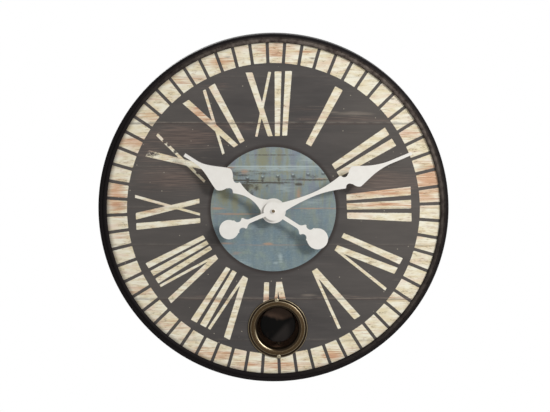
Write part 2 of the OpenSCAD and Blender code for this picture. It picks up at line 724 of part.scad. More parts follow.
module hand_nut() color("#5b4a2c") on_axis() difference() {
    union() {
        bar(centre_at, hand_nut_r, minute_face_h, minute_face_h + hand_nut_t - 0.5);
        taper(centre_at, hand_nut_r, hand_nut_r - 0.5, minute_face_h + hand_nut_t - 0.5,
            minute_face_h + hand_nut_t);
    }
    bar(centre_at, nut_hole_r + press_gap, 0, minute_face_h + 5);
}
module minute_arbor() color("#c9a75a") on_axis() {
    bar(centre_at, 1, train_plate_h + 0.1, stator_h + 0.4);
    bar(centre_at, arbor_r, stator_h + 0.3, minute_face_h - hand_t);
    bar(centre_at, nut_hole_r, minute_face_h - hand_t, minute_face_h + hand_nut_t + 0.6);
    wheel(centre_at, 2, minute_module, cannon_teeth, cannon_phase);
}
module hour_wheel() color("#e3dfcf") on_axis() difference() {
    union() {
        wheel(centre_at, 1, hour_module, hour_teeth, hour_phase);
        bar(centre_at, pipe_r, layer_h(1), hour_face_h);
    }
    bar(centre_at, arbor_r + run_gap, 0, minute_face_h);
}
module minute_wheel() color("#e3dfcf") on_axis() difference() {
    union() {
        wheel(minute_at, 2, minute_module, minute_teeth, minute_phase);
        bar(minute_at, 1.6, layer_h(2), layer_h(1) + wheel_t);
        wheel(minute_at, 1, hour_module, minute_pinion_teeth, minute_pinion_phase);
    }
    bar(minute_at, 0.9 + run_gap, 0, mv_front_h);
}
module setting_knob() color("#d8d4c6") on_axis() {
    wheel(knob_at, 2, minute_module, knob_teeth, knob_phase);
    bar(knob_at, 1.5, mv_back_h - 0.6, layer_h(2) + wheel_t + 0.5);
    difference() {
        bar(knob_at, 6.5, mv_back_h - 3, mv_back_h - 0.4);
        for (i = [0:17]) translate([knob_at[0], 0, knob_at[1]]) rotate([0, i * 20, 0])
            translate([6.9, -mv_back_h, 0]) rotate([90, 0, 0])
                translate([0, 0, -4]) cylinder(r = 0.8, h = 5);
    }
}

// Going train
module centre_wheel() color("#d9bd6e") on_axis() difference() {
    union() {
        wheel(centre_at, 3, centre_module, centre_teeth, centre_phase);
        bar(centre_at, 2.6, layer_h(3) - 0.4, layer_h(3) + wheel_t);
    }
    bar(centre_at, arbor_r + run_gap, 0, mv_front_h);
}
module third_wheel() color("#e3dfcf") on_axis() {
    wheel(third_at, 3, centre_module, third_pinion_teeth, third_pinion_phase);
    wheel(third_at, 4, third_module, third_teeth, third_phase);
    staff(third_at, staff_r);
}
module seconds_wheel() color("#e3dfcf") on_axis() {
    wheel(seconds_at, 4, third_module, seconds_pinion_teeth, seconds_pinion_phase);
    wheel(seconds_at, 5, seconds_module, seconds_teeth, seconds_phase);
    staff(seconds_at, staff_r);
}
module step_wheel() color("#e3dfcf") on_axis() {
    wheel(step_at, 5, seconds_module, step_pinion_teeth, step_pinion_phase);
    wheel(step_at, 6, step_module, step_teeth, step_phase);
    staff(step_at, staff_r);
}
rotor_magnet_h = stator_h + 0.3;
module rotor_pinion() color("#e3dfcf") on_axis() {
    wheel(rotor_at, 6, step_module, rotor_teeth, rotor_phase);
    bar(rotor_at, 0.8, rotor_magnet_h, mv_in_front - 0.3);
    bar(rotor_at, pivot_r, train_plate_h + 0.2, mv_in_front + 0.8);
}
module rotor_magnet() color("#6d6f73") on_axis() difference() {
    bar(rotor_at, rotor_magnet_r, rotor_magnet_h, rotor_magnet_h + rotor_magnet_t);
    bar(rotor_at, 0.8 + press_gap, 0, mv_front_h);
}

// Pendulum

module pendulum_lever() color("#ddd9cc") on_axis() difference() {
    union() {
        sheet(lever_h, lever_t) {
            rect([-lever_w / 2, peg_z - lever_w / 2], [lever_w / 2, pivot_z]);
            translate([0, magnet_z]) circle(r = magnet_r + 1);
        }
        bar([0, pivot_z], lever_hub_r, lever_h + lever_t / 2 - lever_hub_t / 2,
            lever_h + lever_t / 2 + lever_hub_t / 2);
        bar([0, peg_z], peg_r, lever_h, rod_h + rod_t + 0.4);
        bar([0, peg_z], peg_r + 0.6, rod_h + rod_t + 0.4, rod_h + rod_t + 1.2);
    }
    bar([0, pivot_z], pin_r + run_gap, 0, mv_front_h);
}
module lever_magnet() color("#7b7d80") on_axis()
    bar([0, magnet_z], magnet_r, lever_h + lever_t, lever_h + lever_t + magnet_t);
module pendulum_rod() color("#4a3a24") on_axis() {
    sheet(rod_h, rod_t) {
        difference() {
            union() {
                translate([0, peg_z]) circle(r = eye_r);
                rect([-rod_w / 2, rod_end_z], [rod_w / 2, peg_z]);
            }
            translate([0, peg_z]) circle(r = peg_r + 0.15);
        }
    }
    translate([0, -bob_h, rod_tip_z]) cylinder(r = thread_r, h = rod_end_z - rod_tip_z + 3);
}

// Lens of two shallow domes with a square edge
dome = (bob_t - bob_edge) / 2;
dome_r = (bob_r * bob_r + dome * dome) / (2 * dome);
module pendulum_bob() color("#221d19") on_axis() difference() {
    turned([0, bob_z]) intersection() {
        translate([0, bob_h + bob_t / 2 - dome_r]) circle(r = dome_r, $fn = 720);
        translate([0, bob_h - bob_t / 2 + dome_r]) circle(r = dome_r, $fn = 720);
        rect([0, bob_h - bob_t], [bob_r, bob_h + bob_t]);
    }
    sheet(rod_h - 0.2, rod_t + 0.4)
        rect([-rod_w / 2 - 0.2, rod_end_z - 0.3], [rod_w / 2 + 0.2, bob_z + bob_r + 1]);
    translate([0, -bob_h, bob_z - bob_r - 1]) cylinder(r = thread_r + 0.2, h = bob_r);
}
module rating_nut() color("#6b5734") on_axis() difference() {
    translate([0, -bob_h, bob_z - bob_r - nut_t - 0.1]) cylinder(r = nut_r, h = nut_t);
    translate([0, -bob_h, bob_z - bob_r - nut_t - 1]) cylinder(r = thread_r + 0.02, h = nut_t + 3);
}

// Battery, lying along X with its nub to the right
module battery() color("#4d5054") on_axis() {
    translate([-battery_len / 2, -battery_h, battery_z]) rotate([0, 90, 0])
        cylinder(r = battery_r, h = battery_len - battery_nub);
    translate([battery_len / 2 - battery_nub - 0.1, -battery_h, battery_z]) rotate([0, 90, 0])
        cylinder(r = battery_nub_r, h = battery_nub + 0.1);
}

case_rim();
dial_panel();
window_bezel();
bezel_screws();
dial_clips();
clip_screws();
back_cover();
cover_screws();
hanger_block();
hanger_plate();
hanger_screws();
wall_pads();
movement_front_case();
movement_rear_case();
train_plate();
threaded_bushing();
rubber_gasket();
dial_washer();
dial_nut();
motor_stator();
motor_coil();
circuit_board();
quartz_crystal();
positive_contact();
negative_contact();
drive_coil();
drive_bobbin();
pivot_pin();
minute_arbor();
minute_hand();
hand_nut();
hour_wheel();
hour_hand();
minute_wheel();
setting_knob();
centre_wheel();
third_wheel();
seconds_wheel();
step_wheel();
rotor_pinion();
rotor_magnet();
pendulum_lever();
lever_magnet();
pendulum_rod();
pendulum_bob();
rating_nut();
battery();
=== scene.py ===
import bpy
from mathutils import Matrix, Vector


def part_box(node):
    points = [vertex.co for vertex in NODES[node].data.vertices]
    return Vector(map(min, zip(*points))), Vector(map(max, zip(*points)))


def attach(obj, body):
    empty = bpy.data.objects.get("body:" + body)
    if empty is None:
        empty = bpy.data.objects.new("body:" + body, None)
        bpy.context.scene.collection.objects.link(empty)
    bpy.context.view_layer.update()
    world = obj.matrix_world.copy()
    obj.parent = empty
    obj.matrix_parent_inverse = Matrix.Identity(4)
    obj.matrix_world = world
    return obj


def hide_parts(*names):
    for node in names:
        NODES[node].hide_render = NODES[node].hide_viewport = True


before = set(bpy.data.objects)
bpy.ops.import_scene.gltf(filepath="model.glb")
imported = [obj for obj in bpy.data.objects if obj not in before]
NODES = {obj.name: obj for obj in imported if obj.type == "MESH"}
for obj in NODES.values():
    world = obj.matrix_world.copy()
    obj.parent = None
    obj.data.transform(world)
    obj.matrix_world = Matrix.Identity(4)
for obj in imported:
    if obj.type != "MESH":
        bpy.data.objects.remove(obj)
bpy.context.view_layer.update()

# A round plank-dial wall clock with a pendulum window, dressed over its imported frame.
# Shapes are worked out in millimetres about the hands' axis: x to the right, z up, and h forward
# from the wall. place() turns them into the frame's metres.

import logging
import math
from dataclasses import dataclass
from enum import Enum

import bmesh
import bpy
import numpy as np
from mathutils import Matrix, Vector

Array, Object = np.ndarray, bpy.types.Object
Tree, Node, Material = bpy.types.NodeTree, bpy.types.Node, bpy.types.Material

log = logging.getLogger("clock")
MM = 0.001
# Edges bent by more degrees than this are softened, and stay sharp in the shading
SHARP = 35.0
# Faces bent by fewer degrees than this are one plane
FLAT = 1.0
# Vertices nearer than this are one, in metres, and so are those of a CAD node
ONE_SPOT, ONE_CAD_SPOT = 1e-6, 2e-6
# Edges shorter than this are dropped, in metres
NO_LENGTH = 1e-7
BEVEL_STEPS = 3


class Body(Enum):
    """The bodies that new pieces ride on."""

    CASE = "case"
    MINUTE = "minute"
    HOUR = "hour"
    PENDULUM = "pendulum"
    BATTERY = "battery"
    KNOB = "knob"


class Axis(Enum):
    """The way that a turned piece's axis points: square to the dial, or to the right."""

    FORWARD = "forward"
    ACROSS = "across"


def box_mm(node: str) -> tuple[Array, Array]:
    """The lowest and highest corner of a CAD node, in millimetres."""
    low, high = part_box(node)
    return np.array(low) / MM, np.array(high) / MM


# Sizes read from the frame
RIM_LOW, RIM_HIGH = box_mm("case_rim")
AXIS_Z = (RIM_LOW[2] + RIM_HIGH[2]) / 2
RIM_R = (RIM_HIGH[0] - RIM_LOW[0]) / 2
CASE_H = -RIM_LOW[1]
DIAL_H = -box_mm("dial_panel")[0][1]
BEZEL_LOW, BEZEL_HIGH = box_mm("window_bezel")
WINDOW_Z = (BEZEL_LOW[2] + BEZEL_HIGH[2]) / 2 - AXIS_Z


def linear(code: str) -> tuple[float, float, float, float]:
    """Turn an sRGB hex colour into linear light.

    Args:
        code: Six hex digits after a hash.

    Returns:
        Red, green, blue and an alpha of 1.
    """
    parts = [int(code[i : i + 2], 16) / 255 for i in (1, 3, 5)]
    light = [c / 12.92 if c <= 0.04045 else ((c + 0.055) / 1.055) ** 2.4 for c in parts]
    return (*light, 1.0)


def place(x: Array, h: Array, z: Array) -> Array:
    """Points of the frame, in metres, from millimetres about the hands' axis.

    Args:
        x: Distance to the right.
        h: Forward height from the wall.
        z: Distance up from the hands' axis.

    Returns:
        An array with a last axis of three: (x, -h, z + axis) / 1000.
    """
    x, h, z = np.broadcast_arrays(x, h, z)
    return np.stack([x, -h, z + AXIS_Z], -1) * MM


def smooth(edge0: float, edge1: float, v: Array) -> Array:
    """A soft step from 0 at edge0 to 1 at edge1: 3t^2 - 2t^3."""
    t = np.clip((v - edge0) / (edge1 - edge0), 0, 1)
    return t * t * (3 - 2 * t)


def arc(cx: float, cy: float, r: float, start: float, end: float, steps: int = 9) -> Array:
    """Points along a circular arc.

    Args:
        cx: Centre, first coordinate.
        cy: Centre, second coordinate.
        r: Radius.
        start: First angle in degrees.
        end: Last angle in degrees.
        steps: Number of points.

    Returns:
        Points (cx + r cos a, cy + r sin a).
    """
    a = np.radians(np.linspace(start, end, steps))
    return np.stack([cx + r * np.cos(a), cy + r * np.sin(a)], -1)


def grid_faces(rows: int, cols: int, wrap_rows: bool, wrap_cols: bool) -> Array:
    """Quads between neighbouring rows and columns of a grid of points.

    Args:
        rows: Number of rows.
        cols: Number of columns.
        wrap_rows: Whether the last row joins the first.
        wrap_cols: Whether the last column joins the first.

    Returns:
        Four vertex numbers a face.
    """
    i = np.arange(rows if wrap_rows else rows - 1)[:, None]
    j = np.arange(cols if wrap_cols else cols - 1)[None, :]
    i2, j2 = (i + 1) % rows, (j + 1) % cols
    corners = [i * cols + j, i * cols + j2, i2 * cols + j2, i2 * cols + j]
    return np.stack([np.broadcast_to(c, (i.size, j.size)) for c in corners], -1).reshape(-1, 4)


def linked(name: str, data: bpy.types.ID) -> Object:
    """A new object with the given data, linked to the scene.

    Args:
        name: The object's name.
        data: Its mesh, lamp or camera.

    Returns:
        The new object.
    """
    made = bpy.data.objects.new(name, data)
    bpy.context.scene.collection.objects.link(made)
    return made


def paint(made: Object, values: dict[str, Array]) -> None:
    """Keep named values, one a vertex, as float attributes.

    Args:
        made: The object.
        values: The values by their names.
    """
    for name, data in values.items():
        layer = made.data.attributes.new(name, "FLOAT", "POINT")
        layer.data.foreach_set("value", np.asarray(data, np.float32).ravel())


def mesh_object(
    name: str, points: Array, faces: Array, values: dict[str, Array] | None = None
) -> Object:
    """Put points and quads into a new object.

    Args:
        name: The object's name.
        points: Vertices in metres.
        faces: Four vertex numbers a face.
        values: Named values, one a vertex.

    Returns:
        The new object.
    """
    mesh = bpy.data.meshes.new(name)
    mesh.vertices.add(len(points))
    mesh.vertices.foreach_set("co", np.asarray(points, np.float32).ravel())
    mesh.loops.add(faces.size)
    mesh.loops.foreach_set("vertex_index", faces.astype(np.int32).ravel())
    mesh.polygons.add(len(faces))
    mesh.polygons.foreach_set("loop_start", np.arange(len(faces), dtype=np.int32) * 4)
    mesh.update(calc_edges=True)
    made = linked(name, mesh)
    paint(made, values or {})
    return made


def tidy(made: Object, sharp: float = SHARP) -> Object:
    """Merge doubles, point the faces outwards and shade smooth up to an angle.

    Args:
        made: The object to finish.
        sharp: Edges bent by more degrees than this stay sharp.

    Returns:
        The same object.
    """
    work = bmesh.new()
    work.from_mesh(made.data)
    bmesh.ops.remove_doubles(work, verts=work.verts, dist=ONE_SPOT)
    bmesh.ops.dissolve_degenerate(work, edges=work.edges, dist=NO_LENGTH)
    bmesh.ops.recalc_face_normals(work, faces=work.faces)
    if work.calc_volume(signed=True) < 0:
        bmesh.ops.reverse_faces(work, faces=work.faces)
    work.to_mesh(made.data)
    work.free()
    made.data.shade_smooth()
    made.data.set_sharp_from_angle(angle=math.radians(sharp))
    return made


def turned(
    name: str,
    profile: Array,
    at: tuple[float, float] = (0.0, 0.0),
    steps: int = 96,
    closed: bool = True,
    values: dict[str, Array] | None = None,
    axis: Axis = Axis.FORWARD,
) -> Object:
    """Turn a profile about an axis.

    Args:
        name: The object's name.
        profile: Rows of (radius, place along the axis).
        at: The axis, (x, z) about the hands' axis, or (h, z) where it points to the right.
        steps: Number of steps round the axis.
        closed: Whether the profile's last point joins its first.
        values: Named values, one a point of the profile.
        axis: The way that the axis points.

    Returns:
        The object: (x, h, z) = (at + r sin t, h, at + r cos t), or with x and h changed over.
    """
    t = np.linspace(0, 2 * math.pi, steps, endpoint=False)[None, :]
    r, h = profile[:, 0, None], profile[:, 1, None]
    spun = [at[0] + r * np.sin(t), h, at[1] + r * np.cos(t)]
    if axis is Axis.ACROSS:
        spun[0], spun[1] = spun[1], spun[0]
    points = place(*spun)
    spread = {k: np.repeat(np.asarray(v)[:, None], steps, 1) for k, v in (values or {}).items()}
    faces = grid_faces(len(profile), steps, closed, True)
    return tidy(mesh_object(name, points.reshape(-1, 3), faces, spread))


def vertices_mm(made: Object) -> tuple[Array, Array, Array]:
    """The x, h and z of an object's vertices, in millimetres about the hands' axis.

    Args:
        made: The object.

    Returns:
        Three arrays with one value a vertex.
    """
    spots = np.zeros(len(made.data.vertices) * 3, np.float32)
    made.data.vertices.foreach_get("co", spots)
    x, y, z = spots.reshape(-1, 3).T / MM
    return x, -y, z - AXIS_Z


def bevelled_copy(node: str, width: float) -> Object:
    """A copy of a CAD node with its edges softened, which replaces that node.

    Args:
        node: The CAD node.
        width: Width of the bevel in millimetres.

    Returns:
        The copy.
    """
    made = linked(node + "_piece", NODES[node].data.copy())
    work = bmesh.new()
    work.from_mesh(made.data)
    bmesh.ops.remove_doubles(work, verts=work.verts, dist=ONE_CAD_SPOT)
    bmesh.ops.dissolve_limit(
        work, angle_limit=math.radians(FLAT), verts=work.verts, edges=work.edges
    )
    work.to_mesh(made.data)
    work.free()
    soft = made.modifiers.new("soft edges", "BEVEL")
    soft.width = width * MM
    soft.segments = BEVEL_STEPS
    soft.limit_method = "ANGLE"
    soft.angle_limit = math.radians(SHARP)
    made.modifiers.new("merge doubles", "WELD").merge_threshold = NO_LENGTH
    made.data.shade_smooth()
    made.data.set_sharp_from_angle(angle=math.radians(SHARP))
    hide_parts(node)
    return made


# Finishes


def add(
    tree: Tree, kind: str, inputs: dict | None = None, **settings: object
) -> Node:
    """Add a node with its settings and links.

    Args:
        tree: The node tree.
        kind: The node's type, without the word ShaderNode in front.
        inputs: A value to set, a socket to link, or a node whose first live output is linked,
            for each named or numbered input.
        settings: Properties of the node.

    Returns:
        The new node.
    """
    node = tree.nodes.new("ShaderNode" + kind)
    for key, value in settings.items():
        setattr(node, key, value)
    for key, value in (inputs or {}).items():
        if isinstance(value, Node):
            value = next(out for out in value.outputs if out.enabled)
        if isinstance(value, bpy.types.NodeSocket):
            tree.links.new(value, node.inputs[key])
        else:
            node.inputs[key].default_value = value
    return node


def cloud(
    tree: Tree, where: Node, size: tuple[float, ...], detail: float = 4.0, rough: float = 0.6
) -> Node:
    """Grain or cloud: a noise whose features have a size in millimetres along x, y and z.

    Args:
        tree: The node tree.
        where: Places in millimetres.
        size: The sizes, endless along an axis that the pattern doesn't follow.
        detail: Number of finer layers.
        rough: Strength of each finer layer against the one before.

    Returns:
        The noise, about a half.
    """
    scaled = add(tree, "Mapping", {"Vector": where, "Scale": [1 / s for s in size]})
    layers = {"Vector": scaled, "Scale": 1.0, "Detail": detail, "Roughness": rough}
    return add(tree, "TexNoise", layers)


def brush(
    tree: Tree, under: Node | str, over: Node | str, cover: Node, low: float = 0.0,
    high: float = 1.0, top: float = 1.0,
) -> Node:
    """Brush one colour over another.

    Args:
        tree: The node tree.
        under: The colour below, a node or a hex code.
        over: The colour on top, a node or a hex code.
        cover: A value that says where the top colour lies.
        low: The value at which it starts.
        high: The value at which it reaches its full strength.
        top: That strength.

    Returns:
        The node of the mixed colour.
    """
    pair = [linear(c) if isinstance(c, str) else c for c in (under, over)]
    share = add(
        tree, "MapRange", {"Value": cover, "From Min": low, "From Max": high, "To Max": top}
    )
    return add(tree, "Mix", {0: share, 6: pair[0], 7: pair[1]}, data_type="RGBA")


def overlap(tree: Tree, *steps: tuple[Node, float, float]) -> Node:
    """Where two values are both high.

    Args:
        tree: The node tree.
        steps: For each value its node, where it starts to count and where it counts in full.

    Returns:
        The product of the two ranges.
    """
    ranges = [
        add(tree, "MapRange", {"Value": value, "From Min": low, "From Max": high})
        for value, low, high in steps
    ]
    return add(tree, "Math", dict(enumerate(ranges)), operation="MULTIPLY")


def empty_tree(owner: Material | bpy.types.World) -> Tree:
    """The node tree of a new material or room, emptied.

    Args:
        owner: The material or the room.

    Returns:
        Its tree.
    """
    owner.use_nodes = True
    owner.node_tree.nodes.clear()
    return owner.node_tree


@dataclass(frozen=True)
class Look:
    """A finish. Its pattern is laid out on Object coordinates in millimetres."""

    name: str

    def inputs(self, tree: Tree, where: Node) -> dict:
        """The inputs of the finish's shader.

        Args:
            tree: The material's node tree.
            where: Object coordinates in millimetres.

        Returns:
            Values and nodes by the inputs' names.
        """
        raise NotImplementedError

    def material(self) -> Material:
        """The finish's material, built at its first use.

        Returns:
            The material.
        """
        if self.name in bpy.data.materials:
            return bpy.data.materials[self.name]
        made = bpy.data.materials.new(self.name)
        tree = empty_tree(made)
        where = add(tree, "TexCoord").outputs["Object"]
        where = add(tree, "Mapping", {"Vector": where, "Scale": (1 / MM,) * 3})
        shader = add(tree, "BsdfPrincipled", self.inputs(tree, where))
        add(tree, "OutputMaterial", {"Surface": shader})
        return made


def dress(made: Object, body: Body, look: Look) -> Object:
    """Give a piece its one material and the body that it rides on.

    Args:
        made: The piece.
        body: The body that carries it.
        look: Its finish.

    Returns:
        The same piece.
    """
    made.data.materials.clear()
    made.data.materials.append(look.material())
    log.info("piece %s rides on %s", made.name, body.value)
    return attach(made, body.value)


@dataclass(frozen=True)
class Finish(Look):
    """A finish of one base colour, mottled with a second tone by a stretched noise.

    The grain is the width in millimetres of the noise's features, and stretch says how many times
    longer they are along x, y and z.
    """

    colour: str
    second: str
    roughness: float
    metallic: float = 0.0
    grain: float = 1.0
    stretch: tuple[float, float, float] = (1.0, 1.0, 1.0)
    spread: float = 0.5
    uneven: float = 0.06
    bump: float = 0.0
    coat: float = 0.0
    sheen: float = 0.0

    def inputs(self, tree: Tree, where: Node) -> dict:
        """Both tones in one noise, which also varies the roughness and lifts the relief.

        Args:
            tree: The material's node tree.
            where: Object coordinates in millimetres.

        Returns:
            The inputs of the finish's shader.
        """
        noise = cloud(tree, where, tuple(self.grain * s for s in self.stretch))
        low, high = 0.5 - self.spread / 2, 0.5 + self.spread / 2
        rough = {
            "Value": noise, "From Min": 0.3, "From Max": 0.7,
            "To Min": self.roughness - self.uneven,
            "To Max": min(self.roughness + self.uneven, 1.0),
        }
        inputs = {
            "Base Color": brush(tree, self.colour, self.second, noise, low, high),
            "Roughness": add(tree, "MapRange", rough), "Metallic": self.metallic,
            "Coat Weight": self.coat, "Sheen Weight": self.sheen,
        }
        if self.bump:
            relief = {"Height": noise, "Strength": 0.7, "Distance": self.bump * MM}
            inputs["Normal"] = add(tree, "Bump", relief)
        return inputs


# Medium density fibreboard: even brown with fine fibres
FIBREBOARD = Finish("fibreboard", "#6d5238", "#8a6c4c", 0.85, grain=0.8, bump=0.03)
# Enamelled steel hands: warm ivory, very slightly uneven
IVORY_ENAMEL = Finish(
    "ivory stoved enamel", "#e9e6e0", "#dedad2", 0.42, grain=9.0, spread=0.9, bump=0.01
)
# Nickel plate on small screws: bright and a little warm
NICKEL = Finish("nickel plate", "#b3a992", "#857b67", 0.32, 1.0, grain=0.7)
# Zinc plate on clips and the hanger: pale grey with a fine spangle 2 mm across
ZINC = Finish("zinc plate", "#a3a6a8", "#8b8f93", 0.38, 1.0, grain=2.0, spread=0.3)
# Yellow passivated zinc on the hanger's screws
YELLOW_ZINC = Finish("yellow passivated zinc", "#c3b276", "#a88f62", 0.35, 1.0, grain=1.2)
# Black oxide on steel: matt and slightly brown
BLACK_OXIDE = Finish("black oxide steel", "#1d1c1c", "#2b2827", 0.45, 0.6, grain=0.6)
# Pressed hardboard: dark brown with fibres along x and a screened back
HARDBOARD = Finish(
    "pressed hardboard", "#5c4230", "#7d5c43", 0.72, grain=1.6, stretch=(3, 1, 1), bump=0.05,
    spread=0.4,
)
# Sawn pine: growth rings 3 mm apart that run along x
PINE = Finish(
    "sawn pine", "#c69a63", "#a97842", 0.7, grain=1.5, stretch=(14, 1, 1), bump=0.08, spread=0.4
)
# Wool felt: dark grey with a soft nap
FELT = Finish("wool felt", "#2f2f31", "#434347", 0.95, grain=0.35, bump=0.15, sheen=0.4)
# Moulded ABS: black with a fine spark-eroded texture 0.3 mm across
ABS = Finish("black moulded ABS", "#17171a", "#1f1f22", 0.5, grain=0.3, bump=0.02)
# Moulded acetal gears: milky and slightly waxy
ACETAL = Finish("natural acetal", "#e3dfd0", "#d6d1c0", 0.4, grain=1.5, bump=0.004)
# Turned brass: bright with faint turning marks
TURNED_BRASS = Finish("turned brass", "#c9a861", "#b08d47", 0.26, 1.0, grain=0.3)
# Browned brass on the hands' arbor and nut: dull, without lacquer
BROWNED_BRASS = Finish("browned brass", "#84735a", "#6b5b45", 0.45, 0.7, grain=0.8)
# Moulded rubber: dull charcoal
RUBBER = Finish("moulded rubber", "#262626", "#303030", 0.85, grain=0.5, bump=0.02)
# Punched core iron: blue grey
CORE_IRON = Finish("punched core iron", "#8b9096", "#70757b", 0.42, 1.0, grain=0.8)
# Circuit board: green lacquer over the glass weave, 0.6 mm a thread
BOARD = Finish("green board lacquer", "#1f5a34", "#2c7243", 0.35, grain=0.6, coat=0.3)
# Spring steel strip: bright nickel
SPRING_STEEL = Finish("nickelled spring steel", "#c9ccce", "#aeb2b6", 0.25, 1.0, grain=0.6)
# Sintered magnet: dark grey and grainy
MAGNET = Finish("sintered magnet", "#3f4145", "#55575b", 0.6, 0.4, grain=0.4, bump=0.02)
# Coated battery steel: bright ends
BATTERY_STEEL = Finish("battery can steel", "#b9bbbe", "#9da0a4", 0.3, 1.0, grain=0.8)


@dataclass(frozen=True)
class AntiqueBrass(Look):
    """Brass darkened in its hollows, worn bright on its crests, and lit by a painted highlight.

    A value per vertex runs from 0 in a hollow to 1 on the crests and in the painted highlight.
    """

    name: str = "antique brass"
    hollow: str = "#271e13"
    body: str = "#433420"
    # Colour of the worn crests and of the painted highlight on the lip
    crest: str = "#ada288"
    body_at: float = 0.45

    def inputs(self, tree: Tree, where: Node) -> dict:
        """The tone follows the value of worn crests and painted highlight, broken by patches 3 mm
        wide.

        Args:
            tree: The material's node tree.
            where: Object coordinates in millimetres.

        Returns:
            The inputs of the finish's shader.
        """
        # Worn crests, and the painted highlight on the window's lip
        rubbed_and_highlight = add(tree, "Attribute", attribute_name="crest").outputs["Fac"]
        patchy = cloud(tree, where, (3, 3, 3), 5.0, 0.65)
        uneven = {
            "Value": patchy, "From Min": 0.3, "From Max": 0.7, "To Min": -0.07, "To Max": 0.07
        }
        both = {0: rubbed_and_highlight, 1: add(tree, "MapRange", uneven)}
        tone = add(tree, "Math", both, operation="ADD")
        colour = brush(tree, self.hollow, self.body, tone, 0.0, self.body_at)
        colour = brush(tree, colour, self.crest, tone, self.body_at)
        rough = add(tree, "MapRange", {"Value": rubbed_and_highlight, "To Min": 0.5, "To Max": 0.36})
        return {"Base Color": colour, "Roughness": rough, "Metallic": 0.85}


@dataclass(frozen=True)
class RimEnamel(Look):
    """Stoved enamel on pressed steel, near black, with a dusty film and a painted highlight on the
    front bead.

    A value per vertex runs from 0 on clean enamel to 1 where the bead is painted a brownish grey:
    partly a dusty film, and partly a painted highlight where the bead faces the key lamp.
    """

    name: str = "satin black stoved enamel"
    clean: tuple[str, str] = ("#171415", "#211e1e")
    # Tones of the dusty film and the painted highlight on the bead
    dust_and_sheen_tones: tuple[str, str] = ("#39312d", "#685f58")

    def inputs(self, tree: Tree, where: Node) -> dict:
        """Orange peel 0.9 mm wide, and the dusty film and painted highlight in patches 9 mm wide.

        Args:
            tree: The material's node tree.
            where: Object coordinates in millimetres.

        Returns:
            The inputs of the finish's shader.
        """
        peel = cloud(tree, where, (0.9, 0.9, 0.9), 3.0, 0.5)
        drift = cloud(tree, where, (9, 9, 9), 5.0, 0.65)
        dust_and_sheen_colour = brush(tree, *self.dust_and_sheen_tones, drift, 0.35, 0.62)
        # The dusty film and the painted highlight on the bead, read from the rim's vertices
        dust_and_sheen = add(tree, "Attribute", attribute_name="dust_and_sheen").outputs["Fac"]
        return {
            "Base Color": brush(tree, brush(tree, *self.clean, peel), dust_and_sheen_colour, dust_and_sheen),
            "Roughness": add(tree, "MapRange", {"Value": dust_and_sheen, "To Min": 0.4, "To Max": 0.55}),
            "Specular IOR Level": 0.02,
            "Normal": add(tree, "Bump", {"Height": peel, "Strength": 0.7, "Distance": 0.012 * MM}),
        }


@dataclass(frozen=True)
class BobLacquer(Look):
    """Glossy lacquer on a bronze bob: nearly black, with a painted brown reflection in its upper
    part.

    One value runs from 0 to 1 where the brown reflection is painted, and a second to 1 where a
    painted grey reflection lies towards the lower right.
    """

    name: str = "black bronze lacquer"
    dark: str = "#0c0b0a"
    # Colour of the painted brown reflection
    brown: str = "#4b3b31"
    # Colour of the painted grey reflection
    grey: str = "#2b2725"

    def inputs(self, tree: Tree, where: Node) -> dict:
        """The dark lacquer and the painted brown reflection, clouded by a noise 12 mm wide, and the
        painted grey reflection over them.

        Args:
            tree: The material's node tree.
            where: Object coordinates in millimetres.

        Returns:
            The inputs of the finish's shader.
        """
        # The painted brown and grey reflections, read from the bob's vertices
        painted_brown_reflection = add(tree, "Attribute", attribute_name="painted_brown_reflection").outputs["Fac"]
        painted_grey_reflection = add(tree, "Attribute", attribute_name="painted_grey_reflection").outputs["Fac"]
        soft = cloud(tree, where, (12, 12, 12), 3.0, 0.5)
        share = add(tree, "Math", {0: painted_brown_reflection, 1: 0.7, 2: soft}, operation="MULTIPLY_ADD")
        colour = brush(tree, self.dark, self.brown, share, 0.6, 1.2)
        colour = brush(tree, colour, self.grey, painted_grey_reflection)
        return {"Base Color": colour, "Roughness": 0.16, "Specular IOR Level": 0.04}


@dataclass(frozen=True)
class BatterySleeve(Look):
    """Printed plastic sleeve: dark slate with one pale band at the nub's end."""

    name: str = "printed battery sleeve"
    at: float = 0.0
    step: float = 0.1
    slate: str = "#2d4a4f"
    band: str = "#c9ccc6"

    def inputs(self, tree: Tree, where: Node) -> dict:
        """The tone steps once along the battery, and scuffs 2 mm wide vary the gloss.

        Args:
            tree: The material's node tree.
            where: Object coordinates in millimetres.

        Returns:
            The inputs of the finish's shader.
        """
        along = add(tree, "SeparateXYZ", {0: where}).outputs["X"]
        scuff = cloud(tree, where, (2, 2, 2), 4.0, 0.5)
        return {
            "Base Color": brush(tree, self.slate, self.band, along, self.at, self.at + self.step),
            "Roughness": add(tree, "MapRange", {"Value": scuff, "To Min": 0.2, "To Max": 0.45}),
        }


@dataclass(frozen=True)
class Winding(Look):
    """Enamelled copper wire, wound about one axis, drawn 0.35 mm thick so that it shows."""

    along: tuple[float, float, float]
    wire: float = 0.35
    colour: str = "#b5602c"
    gap: str = "#5e2b12"

    def inputs(self, tree: Tree, where: Node) -> dict:
        """Bands square to the winding's axis, dark in the gaps between two turns.

        Args:
            tree: The material's node tree.
            where: Object coordinates in millimetres.

        Returns:
            The inputs of the finish's shader.
        """
        turns = {0: where, 1: [a / self.wire for a in self.along]}
        place_of = add(tree, "VectorMath", turns, operation="DOT_PRODUCT").outputs["Value"]
        band = add(tree, "Math", {0: place_of, 1: 0.5}, operation="PINGPONG")
        return {
            "Base Color": brush(tree, self.gap, self.colour, band, 0.0, 0.25),
            "Roughness": 0.3, "Metallic": 0.5,
            "Normal": add(tree, "Bump", {"Height": band, "Strength": 0.8, "Distance": 0.15 * MM}),
        }


# The dial's print


